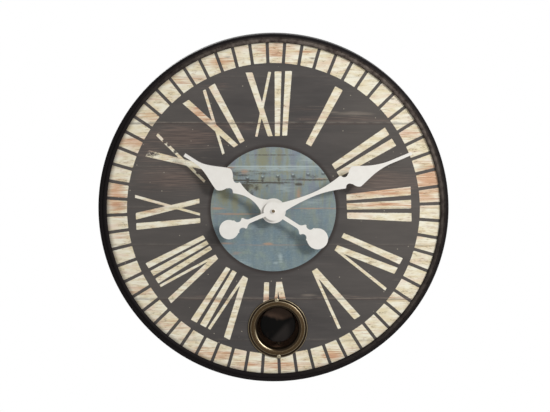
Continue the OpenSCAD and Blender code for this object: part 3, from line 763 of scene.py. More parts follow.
# The planks lie level while the clock hangs turned, so they tilt against the dial
PLANK_TILT = math.radians(-2.1)
# Heights of the plank seams over the hands' axis, in millimetres, and how strongly each shows
SEAMS = ((220.0, 0.25), (143.0, 1.0), (70.0, 0.3), (2.0, 0.3), (-61.0, 0.35), (-152.0, 0.7),
         (-222.0, 0.4))
# Tone of each plank from the top one down, added to a noise about a half
PLANK_TONES = (0.06, 0.02, -0.03, 0.05, 0.0, 0.03, -0.06, -0.12)

# Soft oval patches, in one table for each value that a print reads. A row holds the patch's middle
# along and across the planks, its half-sizes in the same order, in millimetres, and its strength.
Patches = dict[str, tuple[tuple[float, ...], ...]]
PLANK_PATCHES: Patches = {
    # Bare brown wood that shows through the charcoal paint
    "worn": (
        (-150, 122, 62, 20, 1.0), (-165, 52, 62, 22, 0.8), (-205, 100, 30, 30, 0.5),
        (178, 46, 72, 18, 1.0), (128, 150, 95, 7, 0.6), (-60, 138, 120, 6, 0.6),
        (-95, 205, 30, 5, 0.5), (120, -149, 130, 4, 0.4), (-100, -150, 70, 5, 0.5),
        (-190, -20, 60, 10, 0.25), (40, 168, 60, 5, 0.3),
    ),
    # Tan and pink heartwood in the cream paint
    "tan": (
        (2, 264, 34, 14, 0.9), (14, 240, 26, 10, 0.6), (-88, 246, 34, 12, 0.8),
        (46, 262, 26, 7, 0.6), (-150, 214, 40, 10, 0.6), (-262, 22, 18, 34, 1.0),
        (-236, 112, 40, 12, 0.9), (-205, 158, 40, 9, 0.7), (-186, 186, 30, 7, 0.5),
        (262, 50, 30, 30, 1.1), (250, 22, 30, 18, 0.8), (226, 126, 34, 10, 0.8),
        (172, 30, 86, 9, 0.95), (180, 8, 86, 5, 0.9), (140, 66, 34, 7, 0.7),
        (-222, -136, 44, 11, 0.7), (-176, -196, 44, 13, 0.6), (-110, -246, 60, 14, 0.8),
        (10, -264, 90, 9, 0.8), (196, -150, 40, 8, 0.6), (120, -238, 50, 8, 0.5),
        (-186, 92, 50, 16, 0.35), (-128, 128, 26, 11, 0.95), (-88, 139, 20, 5, 0.9),
        (-212, 2, 34, 8, 0.9), (-20, 143, 36, 4, 0.6), (-108, -107, 16, 8, 0.7),
        (-98, -154, 40, 8, 0.6), (2, -150, 34, 7, 1.0), (30, 148, 50, 12, 0.4),
        (72, 160, 20, 20, 0.5), (-45, 34, 40, 10, 0.3), (96, -56, 12, 6, 0.9),
        (-255, -45, 26, 9, 0.5), (255, -60, 20, 8, 0.4), (150, -206, 40, 6, 0.4),
        (-124, 160, 20, 22, 0.9), (-112, 150, 16, 10, 0.8), (-94, 140, 20, 8, 0.7),
        (98, -246, 22, 11, 1.0), (-40, -262, 40, 9, 0.8), (-258, 0, 16, 8, 0.8),
    ),
    # Cream paint flaked off, most of it on the tenth numeral's thin stroke
    "flaked": (
        (-180, 114, 4.5, 4.5, 1.0), (-174, 108, 3.5, 3.5, 0.9), (-163, 96, 4, 4, 0.7),
        (-126, 61, 3, 3, 0.9), (-204, 94, 24, 10, 0.56), (-150, 80, 40, 12, 0.3),
    ),
    # Dark knots and scribbles in the cream paint
    "stain": (
        (66, 251, 11, 5, 0.8), (-76, 253, 12, 3.5, 0.7), (198, 184, 9, 2.2, 1.0),
        (-258, 36, 16, 9, 0.5), (-262, -8, 14, 4, 0.5), (228, -2, 8, 3, 0.5),
        (-160, -262, 40, 4, 0.4), (30, 245, 24, 2, 0.5),
    ),
    # Soft pale smears on the charcoal paint
    "smear": (
        (137, 160, 34, 3.6, 0.95), (100, 163, 12, 2.5, 0.7), (72, 172, 22, 1.6, 0.5),
        (60, -145, 16, 2.2, 0.8), (112, -145, 22, 1.8, 0.6), (-90, 103, 30, 1.4, 0.5),
        (-60, 96, 24, 1.2, 0.4), (205, -118, 12, 4, 0.4), (-118, 86, 12, 3, 0.4),
        (-215, 190, 24, 3, 0.3), (-88, 200, 24, 1.6, 0.5), (-205, -32, 34, 1.0, 0.5),
    ),
}
BOARD_PATCHES: Patches = {
    # Rust that has run and spread along the boards
    "rust": (
        (-94, 1.5, 10, 2.0, 1.1), (-66, -8, 44, 1.4, 0.75), (70, 1.5, 44, 1.0, 0.8),
        (-8, -58, 9, 2.2, 1.0), (-80, -57, 16, 1.4, 0.7), (10, -60, 90, 0.9, 0.6),
        (-48, 63, 8, 4, 0.8), (42, 24, 3.5, 13, 0.7), (-72, 70, 9, 4, 0.7), (78, 51, 12, 1.6, 0.7),
        (-62, -74, 10, 4, 0.4), (52, 49, 20, 1.2, 0.5),
    ),
    # Moss and yellowed paint
    "moss": (
        (-17, 88, 11, 24, 1.0), (10, 88, 6, 22, 0.8), (-84, 22, 12, 18, 0.8), (44, 32, 5, 16, 0.6),
        (-36, 38, 24, 8, 0.7), (-4, 50, 26, 7, 0.55), (-52, 26, 10, 12, 0.5),
        (-64, 12, 7, 18, 0.9), (-40, 8, 6, 16, 0.6), (-14, 24, 8, 14, 0.4), (20, 62, 30, 5, 0.45),
        (-52, -10, 16, 10, 0.4), (30, 12, 16, 8, 0.35), (-70, 52, 12, 5, 0.6),
    ),
    # Chalked paint
    "pale": (
        (0, 68, 84, 4, 0.8), (66, 86, 24, 9, 0.6), (12, -82, 4, 9, 0.7), (4, -90, 5, 3, 0.6),
        (58, 14, 26, 9, 0.45), (-60, -92, 26, 8, 0.5), (20, 35, 14, 8, 0.5),
        (-30, -30, 22, 6, 0.4),
    ),
    # Dark open joints and splits
    "line": (
        (-48, 48.6, 24, 1.3, 1.4), (-14, 44.8, 44, 1.4, 1.4), (-48, 40, 14, 4, 1.2),
        (42, 42, 7, 2.4, 1.3), (60, 49.5, 48, 1.2, 1.2), (0, 91, 44, 0.8, 1.1),
        (-44, 35, 5, 8, 1.0), (-54, 33, 4, 6, 0.9), (-28, 36, 4, 5, 0.9), (-43, 47, 3, 4, 1.0),
        (-18, 48, 3, 4, 0.9), (9, 50, 3, 4, 0.8), (34, 54, 4, 3, 0.7), (-66, 60, 12, 4, 0.7),
        (-20, 60, 16, 2, 0.6), (-10, 39, 3, 4, 0.6), (-60, 62, 12, 1.0, 0.6),
        (44, 52, 10, 1.4, 0.7), (-74, 68, 6, 5, 0.5), (-52, 57, 16, 2.2, 0.8),
        (-34, 64, 10, 1.6, 0.6), (12, 44, 8, 2.4, 0.8), (-36, 26, 3, 8, 0.7), (66, 55, 10, 3, 0.6),
    ),
}


def cover(u: Array, v: Array, tables: Patches) -> dict[str, Array]:
    """How strongly each table's patches cover each point.

    Args:
        u: Places along the planks, in millimetres.
        v: Places across the planks, in millimetres.
        tables: The patches.

    Returns:
        For each table the largest of s exp(-(du/w)^2 - (dv/t)^2) over its rows.
    """
    return {
        name: np.max([
            s * np.exp(-(((u - pu) / w) ** 2) - ((v - pv) / t) ** 2) for pu, pv, w, t, s in rows
        ], axis=0)
        for name, rows in tables.items()
    }


def along_planks(x: Array, z: Array) -> tuple[Array, Array]:
    """Places along and across the planks: (x, z) turned by the planks' tilt."""
    c, s = math.cos(PLANK_TILT), math.sin(PLANK_TILT)
    return x * c + z * s, z * c - x * s


@dataclass(frozen=True)
class Weathered(Look):
    """What the dial's two weathered prints share: grain along the planks, worn paint, varnish."""

    varnish: float = 0.6
    specular: float = 0.22
    relief: float = 0.1
    # Values of the mesh that are brushed on last, as they stand, and their colours
    marks: tuple[tuple[str, str], ...] = ()

    @staticmethod
    def grain(tree: Tree, level: Node, long: float, tall: float, detail: float = 4.0) -> Node:
        """Wood grain or cloud: features of a length along the planks and a height, in mm."""
        return cloud(tree, level, (long, math.inf, tall), detail)

    @staticmethod
    def broken(tree: Tree, name: str, gain: float, grain: Node) -> Node:
        """How strongly a named value shows: the value times a gain, broken up by a grain."""
        value = add(tree, "Attribute", attribute_name=name).outputs["Fac"]
        return add(tree, "Math", {0: value, 1: gain, 2: grain}, operation="MULTIPLY_ADD")

    @staticmethod
    def hairlines(tree: Tree, grain: Node, width: float, mask: Node) -> Node:
        """Fine lines where a grain crosses its middle, kept where the mask is high.

        Args:
            tree: The material's node tree.
            grain: The grain, about a half.
            width: How far from a half a line reaches.
            mask: A noise about a half.

        Returns:
            The lines, from 0 to 1.
        """
        off = add(tree, "Math", {0: grain, 1: 0.5}, operation="SUBTRACT")
        near = add(tree, "Math", {0: off}, operation="ABSOLUTE")
        return overlap(tree, (near, width, width * 0.3), (mask, 0.46, 0.6))

    def print_of(self, tree: Tree, level: Node) -> tuple[Node, Node]:
        """The print's colour and its grain.

        Args:
            tree: The material's node tree.
            level: Places along and across the planks, in millimetres.

        Returns:
            Both nodes.
        """
        raise NotImplementedError

    def inputs(self, tree: Tree, where: Node) -> dict:
        """Matt varnish over the print and its marks, with the grain in low relief.

        Args:
            tree: The material's node tree.
            where: Object coordinates in millimetres.

        Returns:
            The inputs of the finish's shader.
        """
        level = add(tree, "Mapping", {"Vector": where, "Rotation": (0, PLANK_TILT, 0)})
        colour, grain = self.print_of(tree, level)
        for name, tone in self.marks:
            value = add(tree, "Attribute", attribute_name=name).outputs["Fac"]
            colour = brush(tree, colour, tone, value)
        relief = {"Height": grain, "Strength": 0.3, "Distance": self.relief * MM}
        return {
            "Base Color": colour, "Roughness": self.varnish,
            "Specular IOR Level": self.specular, "Normal": add(tree, "Bump", relief),
        }


@dataclass(frozen=True)
class PlankPrint(Weathered):
    """The distressed plank print of the dial under its matt varnish.

    The value cream is the signed distance in millimetres into a cream painted shape. worn and
    tan show wood through the paints, flaked takes the cream off, and stain, smear, seam, ridge,
    tone and shade darken or lighten what is there. A painted sheen of the varnish lightens the
    charcoal, most on the right.
    """

    name: str = "distressed plank print"
    marks: tuple[tuple[str, str], ...] = (("seam", "#3b302c"), ("shade", "#2a2220"))
    charcoal: tuple[str, str] = ("#3e3b3a", "#4b4745")
    brown: tuple[str, str] = ("#483d3a", "#6a5b54")
    cream: tuple[str, str] = ("#eae5d2", "#dccfae")
    heart: tuple[str, str] = ("#dcb391", "#b48263")

    def dark_paint(self, tree: Tree, level: Node, grain: Node) -> Node:
        """Charcoal paint, worn to the brown wood in patches, with pale smears and specks, and a
        painted sheen of the varnish over it.

        Args:
            tree: The material's node tree.
            level: Places along and across the planks, in millimetres.
            grain: The print's main grain.

        Returns:
            The paint's colour.
        """
        broad = self.grain(tree, level, 150, 26, 3.0)
        dark = brush(tree, *self.charcoal, self.broken(tree, "tone", 1.0, broad), 0.38, 0.66)
        rub = self.grain(tree, level, 60, 3.2, 5.0)
        dark = brush(tree, dark, "#6b6461", rub, 0.6, 0.78, 0.4)
        bare = brush(tree, *self.brown, grain, 0.38, 0.62)
        rings = self.hairlines(tree, self.grain(tree, level, 90, 7.0, 2.0), 0.025, broad)
        bare = brush(tree, bare, "#82746a", rings, top=0.5)
        dark = brush(tree, dark, bare, self.broken(tree, "worn", 0.55, grain), 0.6, 0.94, 0.9)
        smear = self.broken(tree, "smear", 0.6, grain)
        dark = brush(tree, dark, "#8b8075", smear, 0.66, 1.05, 0.6)
        cells = add(tree, "TexVoronoi", {"Vector": level, "Scale": 1 / 14}).outputs
        speck = overlap(tree, (cells["Distance"], 0.085, 0.04), (cells["Color"], 0.52, 0.6))
        # Painted sheen of the varnish, which lightens the charcoal
        painted_varnish_sheen = add(tree, "Attribute", attribute_name="painted_varnish_sheen").outputs["Fac"]
        return brush(tree, brush(tree, dark, "#726b63", painted_varnish_sheen), "#a39b8c", speck, top=0.75)

    def light_paint(self, tree: Tree, level: Node, grain: Node, blotch: Node) -> Node:
        """Cream paint, stained tan along the grain, with fine cracks and dark knots.

        Args:
            tree: The material's node tree.
            level: Places along and across the planks, in millimetres.
            grain: The print's main grain.
            blotch: The noise that keeps its veins.

        Returns:
            The paint's colour.
        """
        soft = self.grain(tree, level, 30, 9.0, 3.0)
        light = brush(tree, *self.cream, soft, 0.4, 0.6)
        rosy = self.grain(tree, level, 60, 14.0, 2.0)
        light = brush(tree, light, "#dfc4b2", rosy, 0.52, 0.66, 0.45)
        heart = brush(tree, *self.heart, grain, 0.38, 0.66)
        tan = self.broken(tree, "tan", 0.36, grain)
        light = brush(tree, light, heart, tan, 0.62, 0.84, 0.95)
        veins = self.hairlines(tree, self.grain(tree, level, 80, 6.0, 3.0), 0.02, blotch)
        light = brush(tree, light, "#a5836c", veins, top=0.6)
        cracks = self.hairlines(tree, self.grain(tree, level, 60, 9.0, 4.0), 0.01, soft)
        light = brush(tree, light, "#5f4c3f", cracks, top=0.7)
        knot = self.broken(tree, "stain", 0.5, self.grain(tree, level, 26, 1.5, 3.0))
        return brush(tree, light, "#5d5347", knot, 0.82, 1.0, 0.85)

    def cream_share(self, tree: Tree, fine: Node) -> Node:
        """Where the cream paint lies: inside its shapes, with ragged edges and flaked places.

        Args:
            tree: The material's node tree.
            fine: The noise that breaks its edges.

        Returns:
            The paint's share, from 0 to 1.
        """
        ragged = {
            "Value": fine, "From Min": 0.3, "From Max": 0.7, "To Min": -0.22, "To Max": 0.22
        }
        edge = self.broken(tree, "cream", 1.0, add(tree, "MapRange", ragged))
        loss = self.broken(tree, "flaked", 0.8, fine)
        return overlap(tree, (edge, -0.25, 0.25), (loss, 0.9, 0.8))

    def print_of(self, tree: Tree, level: Node) -> tuple[Node, Node]:
        """Cream over charcoal and the ridges, in a grain 44 mm long and 1.8 mm wide.

        Args:
            tree: The material's node tree.
            level: Places along and across the planks, in millimetres.

        Returns:
            The print's colour and its grain.
        """
        grain = self.grain(tree, level, 44, 1.8, 6.0)
        blotch = self.grain(tree, level, 22, 16, 5.0)
        dark = self.dark_paint(tree, level, grain)
        light = self.light_paint(tree, level, grain, blotch)
        share = self.cream_share(tree, self.grain(tree, level, 5, 1.0, 3.0))
        ridge = add(tree, "Attribute", attribute_name="ridge").outputs["Fac"]
        ridge = overlap(tree, (ridge, 0.0, 1.0), (blotch, 0.38, 0.56))
        return brush(tree, brush(tree, dark, light, share), "#7f776e", ridge), grain


@dataclass(frozen=True)
class BlueBoards(Weathered):
    """The blue weathered boards in the middle of the dial, stained by rust and moss.

    The value height runs from 0 at the foot to 1 at the top. rust, moss, pale and line are the
    stains, and seam and nail are drawn as they stand.
    """

    name: str = "weathered blue boards"
    marks: tuple[tuple[str, str], ...] = (("seam", "#b4c2c3"), ("nail", "#3c3d3e"))
    foot: tuple[str, str] = ("#6a7a80", "#7a898c")
    top: tuple[str, str] = ("#7c898c", "#8f9892")

    def print_of(self, tree: Tree, level: Node) -> tuple[Node, Node]:
        """Blue paint mottled by weather, whose stains are broken up by two of the grains.

        Args:
            tree: The material's node tree.
            level: Places along and across the planks, in millimetres.

        Returns:
            The print's colour and its grain.
        """
        grain = self.grain(tree, level, 26, 1.6, 5.0)
        fine = self.grain(tree, level, 4, 2.5, 4.0)
        streak = self.grain(tree, level, 9, 60, 3.0)
        blotch = self.grain(tree, level, 14, 18, 5.0)
        height = add(tree, "Attribute", attribute_name="height").outputs["Fac"]
        both = add(tree, "Math", {0: streak, 1: blotch}, operation="MULTIPLY")
        low, high = (brush(tree, *pair, both, 0.16, 0.36) for pair in (self.foot, self.top))
        colour = brush(tree, low, high, height)
        weather = (
            (blotch, 0.5, 0.64, 0.55, "#637a89"), (blotch, 0.47, 0.36, 0.4, "#93a08f"),
            (fine, 0.52, 0.68, 0.4, "#9fadad"), (grain, 0.44, 0.34, 0.45, "#596a70"),
        )
        for noise, start, full, top, tone in weather:
            colour = brush(tree, colour, tone, noise, start, full, top)
        for start, full, top, tone in ((0.53, 0.62, 0.55, "#85846a"), (0.47, 0.4, 0.5, "#7d7f8e")):
            share = overlap(tree, (streak, start, full), (height, 0.0, 1.0))
            colour = brush(tree, colour, tone, share, top=top)
        stains = (
            ("pale", "#a4b2b3", 0.7, grain, 0.92), ("moss", "#87866a", 0.75, fine, 0.92),
            ("rust", "#ab8a72", 0.75, grain, 0.92), ("line", "#4c4841", 0.9, fine, 1.02),
        )
        for name, tone, top, noise, full in stains:
            stain = self.broken(tree, name, 0.6, noise)
            colour = brush(tree, colour, tone, stain, 0.6, full, top)
        return colour, grain


# The dial


class Glyph(Enum):
    """The letters of the Roman numerals."""

    ONE = "I"
    FIVE = "V"
    TEN = "X"


@dataclass(frozen=True)
class Numeral:
    """A Roman numeral: its letters, its stem's width and its shift to the right, at its top."""

    letters: str
    stem: float
    shift: float = 0.0


NUMERALS = (
    Numeral("XII", 11.3, 1.0), Numeral("I", 14.2, 1.6), Numeral("II", 14.0, 0.2),
    Numeral("III", 14.3, -0.5), Numeral("IV", 11.7, 2.5), Numeral("V", 11.6, -6.0),
    Numeral("VI", 11.3, 0.0), Numeral("VII", 11.2, -1.8), Numeral("VIII", 9.8, -3.5),
    Numeral("IX", 11.1, 3.2), Numeral("X", 11.8, 0.8), Numeral("XI", 12.0, -2.0),
)


@dataclass
class DialPrint:
    """The printed face of the dial: charcoal planks, numerals, minute blocks and blue disc."""

    thick: float = 0.12
    numeral_top: float = 229.5
    numeral_foot: float = 122.5
    disc_r: float = 104.3
    track_in: float = 243.9
    track_out: float = 281.0
    mark_w: float = 5.4
    mark_step: float = 6.0
    window_clear: float = 46.0
    hub_clear: float = 5.5
    narrow: float = 0.69
    vignette_at: float = 265.0
    joint_at: float = 72.0
    joint_half: float = 84.0
    nails: int = 6
    nail_at: tuple[float, float] = (-43.0, 51.6)
    nail_step: tuple[float, float] = (25.2, 1.65)

    def strokes(self, numeral: Numeral) -> list[tuple[float, ...]]:
        """Lay out a numeral's strokes.

        A letter's box is 3.75 stems wide for V and X, and the gaps are 0.55 stems between two
        stems, 0.3 after V and 0.5 after X. Towards the foot everything narrows about the middle.

        Args:
            numeral: The numeral.

        Returns:
            For each stroke its left and right edge at the top, then at the foot.
        """
        s, k = numeral.stem, self.narrow
        wide = {Glyph.ONE: s, Glyph.FIVE: 3.75 * s, Glyph.TEN: 3.75 * s}
        gap = {Glyph.ONE: 0.55 * s, Glyph.FIVE: 0.3 * s, Glyph.TEN: 0.5 * s}
        glyphs = [Glyph(letter) for letter in numeral.letters]
        length = sum(wide[g] for g in glyphs) + sum(gap[g] for g in glyphs[:-1])
        left = numeral.shift - length / 2
        made = []
        for g in glyphs:
            right = left + wide[g]
            thin = 0.44 * s
            if g is Glyph.ONE:
                middle = k * (left + right) / 2
                made.append((left, right, middle - 0.36 * s, middle + 0.36 * s))
            elif g is Glyph.TEN:
                made.append((left, left + s, k * right - 0.7 * s, k * right))
                made.append((right - thin, right, k * left, k * left + 0.85 * thin))
            else:
                foot = k * (left + right) / 2
                made.append((left, left + s, foot - 0.42 * s, foot + 0.42 * s))
                made.append((right - thin, right, foot + 0.42 * s - 0.9 * thin, foot + 0.42 * s))
            left = right + gap[g]
        return made

    def numeral_distance(self, x: Array, z: Array) -> Array:
        """Signed distance into the nearest stroke of any numeral, in millimetres.

        For a stroke between two slanted edges it is the least of the distances to the top, the
        foot and the two edges.

        Args:
            x: Places to the right of the hands' axis.
            z: Places above it.

        Returns:
            Positive inside the paint.
        """
        best = np.full(x.shape, -20.0)
        span = self.numeral_top - self.numeral_foot
        for hour, numeral in enumerate(NUMERALS):
            a = math.radians(30 * hour)
            out = x * math.sin(a) + z * math.cos(a)
            side = x * math.cos(a) - z * math.sin(a)
            t = (out - self.numeral_foot) / span
            ends = np.minimum(out - self.numeral_foot, self.numeral_top - out)
            for lt, rt, lf, rf in self.strokes(numeral):
                left = (side - lf - (lt - lf) * t) / math.hypot(1, (lt - lf) / span)
                right = (rf + (rt - rf) * t - side) / math.hypot(1, (rt - rf) / span)
                best = np.maximum(best, np.minimum(np.minimum(left, right), ends))
        return best

    def track_distance(self, x: Array, z: Array) -> Array:
        """Signed distance into the nearest minute block: r |sin a| less half a mark's width.

        Args:
            x: Places to the right of the hands' axis.
            z: Places above it.

        Returns:
            Positive inside the paint.
        """
        r = np.hypot(x, z)
        turn = np.degrees(np.arctan2(x, z)) / self.mark_step
        off = np.radians((turn - np.round(turn)) * self.mark_step)
        return np.minimum(r * np.abs(np.sin(off)) - self.mark_w / 2, r - self.track_in)

    def field(self, r0: float, r1: float, rings: int, steps: int) -> tuple[Array, Array, Array]:
        """A flat ring of the face, open where the pendulum's window comes through.

        Args:
            r0: Inner radius.
            r1: Outer radius.
            rings: Number of steps outwards.
            steps: Number of steps round.

        Returns:
            The x and z of its points and its faces.
        """
        r = np.linspace(r0, r1, rings)[:, None]
        t = np.linspace(0, 2 * math.pi, steps, endpoint=False)[None, :]
        x, z = (r * np.sin(t)).ravel(), (r * np.cos(t)).ravel()
        faces = grid_faces(rings, steps, False, True)[:, ::-1]
        open_here = np.hypot(x, z - WINDOW_Z) < self.window_clear
        faces = faces[~open_here[faces].all(1)]
        used, faces = np.unique(faces, return_inverse=True)
        return x[used], z[used], faces.reshape(-1, 4)

    def values(self, x: Array, z: Array, cream: Array) -> dict[str, Array]:
        """The named values that the plank print reads.

        A seam is a dark line exp(-((v - s) / 0.9)^2) with a pale ridge 2 mm over it, the shade
        is a halo outside the blue disc and a vignette under the rim's bead, deepest on the left.

        Args:
            x: Places to the right of the hands' axis.
            z: Places above it.
            cream: Signed distance into the cream paint.

        Returns:
            The values, one a point.
        """
        u, v = along_planks(x, z)
        seam = np.max([k * np.exp(-(((v - s) / 0.9) ** 2)) for s, k in SEAMS], axis=0)
        ridge = np.max([k * np.exp(-(((v - s - 2.0) / 1.2) ** 2)) for s, k in SEAMS], axis=0)
        tone = np.array(PLANK_TONES)[np.searchsorted([-s for s, k in SEAMS], -v)]
        r = np.hypot(x, z)
        halo = 0.7 * (1 - smooth(self.disc_r + 1.5, self.disc_r + 8, r))
        side = np.cos(np.arctan2(x, z) - math.radians(self.vignette_at))
        vignette = np.clip(0.3 + 0.4 * side, 0, 1) * smooth(272 - 2 * side, 279, r)
        # Painted sheen of the varnish: strongest on the upper right, where the key lamp falls, and
        # weaker on the left
        right = 0.2 * smooth(60, 170, u) * (0.65 + 0.35 * smooth(-160, 60, v))
        painted_varnish_sheen = 0.04 + right + 0.12 * smooth(60, 170, -u)
        return {
            "cream": cream, "seam": 0.75 * seam, "ridge": 0.62 * ridge, "tone": tone,
            "shade": np.maximum(halo, vignette), "painted_varnish_sheen": painted_varnish_sheen, **cover(u, v, PLANK_PATCHES),
        }

    def blue_values(self, x: Array, z: Array) -> dict[str, Array]:
        """The named values that the blue boards read.

        A nail is a flat oval exp(-(du / 3.3)^4 - (dv / 2.2)^4) with a gleam on its upper side.

        Args:
            x: Places to the right of the hands' axis.
            z: Places above it.

        Returns:
            The values, one a point.
        """
        u, v = along_planks(x, z)
        seam = 0.85 * np.exp(-(((v - self.joint_at) / 0.8) ** 2)) * (np.abs(u) < self.joint_half)
        nails, gleam = np.zeros_like(x), np.zeros_like(x)
        for k in range(self.nails):
            du = u - self.nail_at[0] - self.nail_step[0] * k
            dv = v - self.nail_at[1] - self.nail_step[1] * k
            below = np.exp(-((du / 3.3) ** 4) - (dv / 2.2) ** 4)
            above = np.exp(-((du / 1.6) ** 2) - ((dv - 1.6) / 1.3) ** 2)
            nails, gleam = np.maximum(nails, below - above), np.maximum(gleam, above)
        return {
            "seam": np.maximum(seam, 0.7 * gleam), "nail": 0.8 * nails,
            "height": smooth(-70, 60, v), **cover(u, v, BOARD_PATCHES),
        }

    def sheet(
        self, name: str, x: Array, z: Array, faces: Array, values: dict[str, Array], look: Look
    ) -> None:
        """Build one field of the print as a thin closed sheet on the panel.

        Its outline is carried back by nine tenths of the thickness and filled with triangles.

        Args:
            name: The piece's name.
            x: Places of its points to the right of the hands' axis.
            z: Places above it.
            faces: Four vertex numbers a face.
            values: The named values that its print reads.
            look: The print.
        """
        made = mesh_object(name, place(x, DIAL_H + self.thick, z), faces, values)
        work = bmesh.new()
        work.from_mesh(made.data)
        outline = [edge for edge in work.edges if edge.is_boundary]
        for part in bmesh.ops.extrude_edge_only(work, edges=outline)["geom"]:
            if isinstance(part, bmesh.types.BMVert):
                part.co.y += 0.9 * self.thick * MM
        outline = [edge for edge in work.edges if edge.is_boundary]
        bmesh.ops.triangle_fill(work, use_beauty=True, edges=outline, normal=(0, 1, 0))
        work.to_mesh(made.data)
        work.free()
        dress(tidy(made), Body.CASE, look)

    def build(self) -> None:
        """Build the three fields of the print."""
        # Name, inner and outer radius, points outwards and round, and what is painted cream
        rings = (
            ("numeral_ring", self.disc_r, self.track_in, 90, 1000, self.numeral_distance),
            ("minute_track", self.track_in, self.track_out, 24, 1440, self.track_distance),
        )
        for name, r0, r1, rows, steps, distance in rings:
            x, z, faces = self.field(r0, r1, rows, steps)
            self.sheet(name, x, z, faces, self.values(x, z, distance(x, z)), PlankPrint())
        x, z, faces = self.field(self.hub_clear, self.disc_r, 110, 540)
        self.sheet("blue_disc", x, z, faces, self.blue_values(x, z), BlueBoards())


@dataclass
class CaseRim:
    """The pressed rim: rear flange, side wall, rounded shoulder, groove and front bead."""

    sheet: float = 1.2
    flange_w: float = 8.0
    flange_h: float = 5.0
    flange_edge_r: float = 0.5
    shoulder_r: float = 5.8
    shoulder_drop: float = 2.0
    inner_edge_r: float = 0.4
    bead_r: float = 3.7
    groove_w: float = 1.2
    groove_rise: float = 0.5
    clear: float = 0.05
    inset: float = 0.2
    # Where the dusty film and painted highlight on the bead are strongest, in degrees clockwise
    # from the top, and how wide they are across the bead in millimetres
    dust_and_sheen_at: float = 58.0
    dust_and_sheen_w: float = 5.0

    def profile(self) -> Array:
        """The rim's closed section, anticlockwise from the flange's inner edge.

        Returns:
            Rows of (radius, forward height): arcs joined by straight lines.
        """
        out, s, e, i = RIM_R, self.sheet, self.flange_edge_r, self.inner_edge_r
        shoulder_x, flange_x = out - self.shoulder_r, out - self.flange_w
        bead_x = shoulder_x - self.bead_r - self.groove_w
        top, groove = CASE_H - self.shoulder_drop, DIAL_H + s + self.groove_rise
        turn_h, panel = top - self.shoulder_r, DIAL_H + self.clear
        outer = [
            arc(flange_x + e, self.flange_h + e, e, 180, 270, 4),
            arc(out - s, self.flange_h + s, s, 270, 360, 6),
            arc(shoulder_x, turn_h, self.shoulder_r, 0, 90, 18),
            arc(shoulder_x - s + i, top - i, i, 90, 180, 4),
            [[shoulder_x - s, groove], [bead_x + self.bead_r, groove]],
            arc(bead_x, CASE_H - self.bead_r, self.bead_r, 0, 180, 22),
            [[bead_x - self.bead_r, panel], [shoulder_x - self.inset, panel]],
            [[shoulder_x, top - s]],
            arc(shoulder_x, turn_h, self.shoulder_r - s, 90, 0, 9),
            [[out - s, self.flange_h + s], [flange_x, self.flange_h + s]],
        ]
        return np.concatenate([np.asarray(part, float) for part in outer])

    def dust_and_sheen(self, x: Array, h: Array, z: Array) -> Array:
        """How strongly the rim carries its dusty film and painted highlight, at each vertex.

        Args:
            x: Distance to the right of the hands' axis.
            h: Forward height from the wall.
            z: Distance up from the axis.

        Returns:
            A bell over the bead's radius times a soft step over the angle from the upper right,
            where the key lamp falls, less towards the foot, on the front only.
        """
        bead_x = RIM_R - self.shoulder_r - self.bead_r - self.groove_w
        r = np.hypot(x, z)
        across = np.exp(-(((r - bead_x) / self.dust_and_sheen_w) ** 4))
        turn = np.arctan2(x, z) - math.radians(self.dust_and_sheen_at)
        upper = 1 - 0.62 * smooth(0.85, -0.35, z / r)
        return across * smooth(0.2, 0.85, 0.5 + 0.5 * np.cos(turn)) * upper * (h > DIAL_H)

    def build(self) -> None:
        """Build the rim in place of its CAD node."""
        rim = turned("case_rim_piece", self.profile(), steps=288)
        # The dusty film and the painted highlight on the bead
        paint(rim, {"dust_and_sheen": self.dust_and_sheen(*vertices_mm(rim))})
        dress(rim, Body.CASE, RimEnamel())
        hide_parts("case_rim")


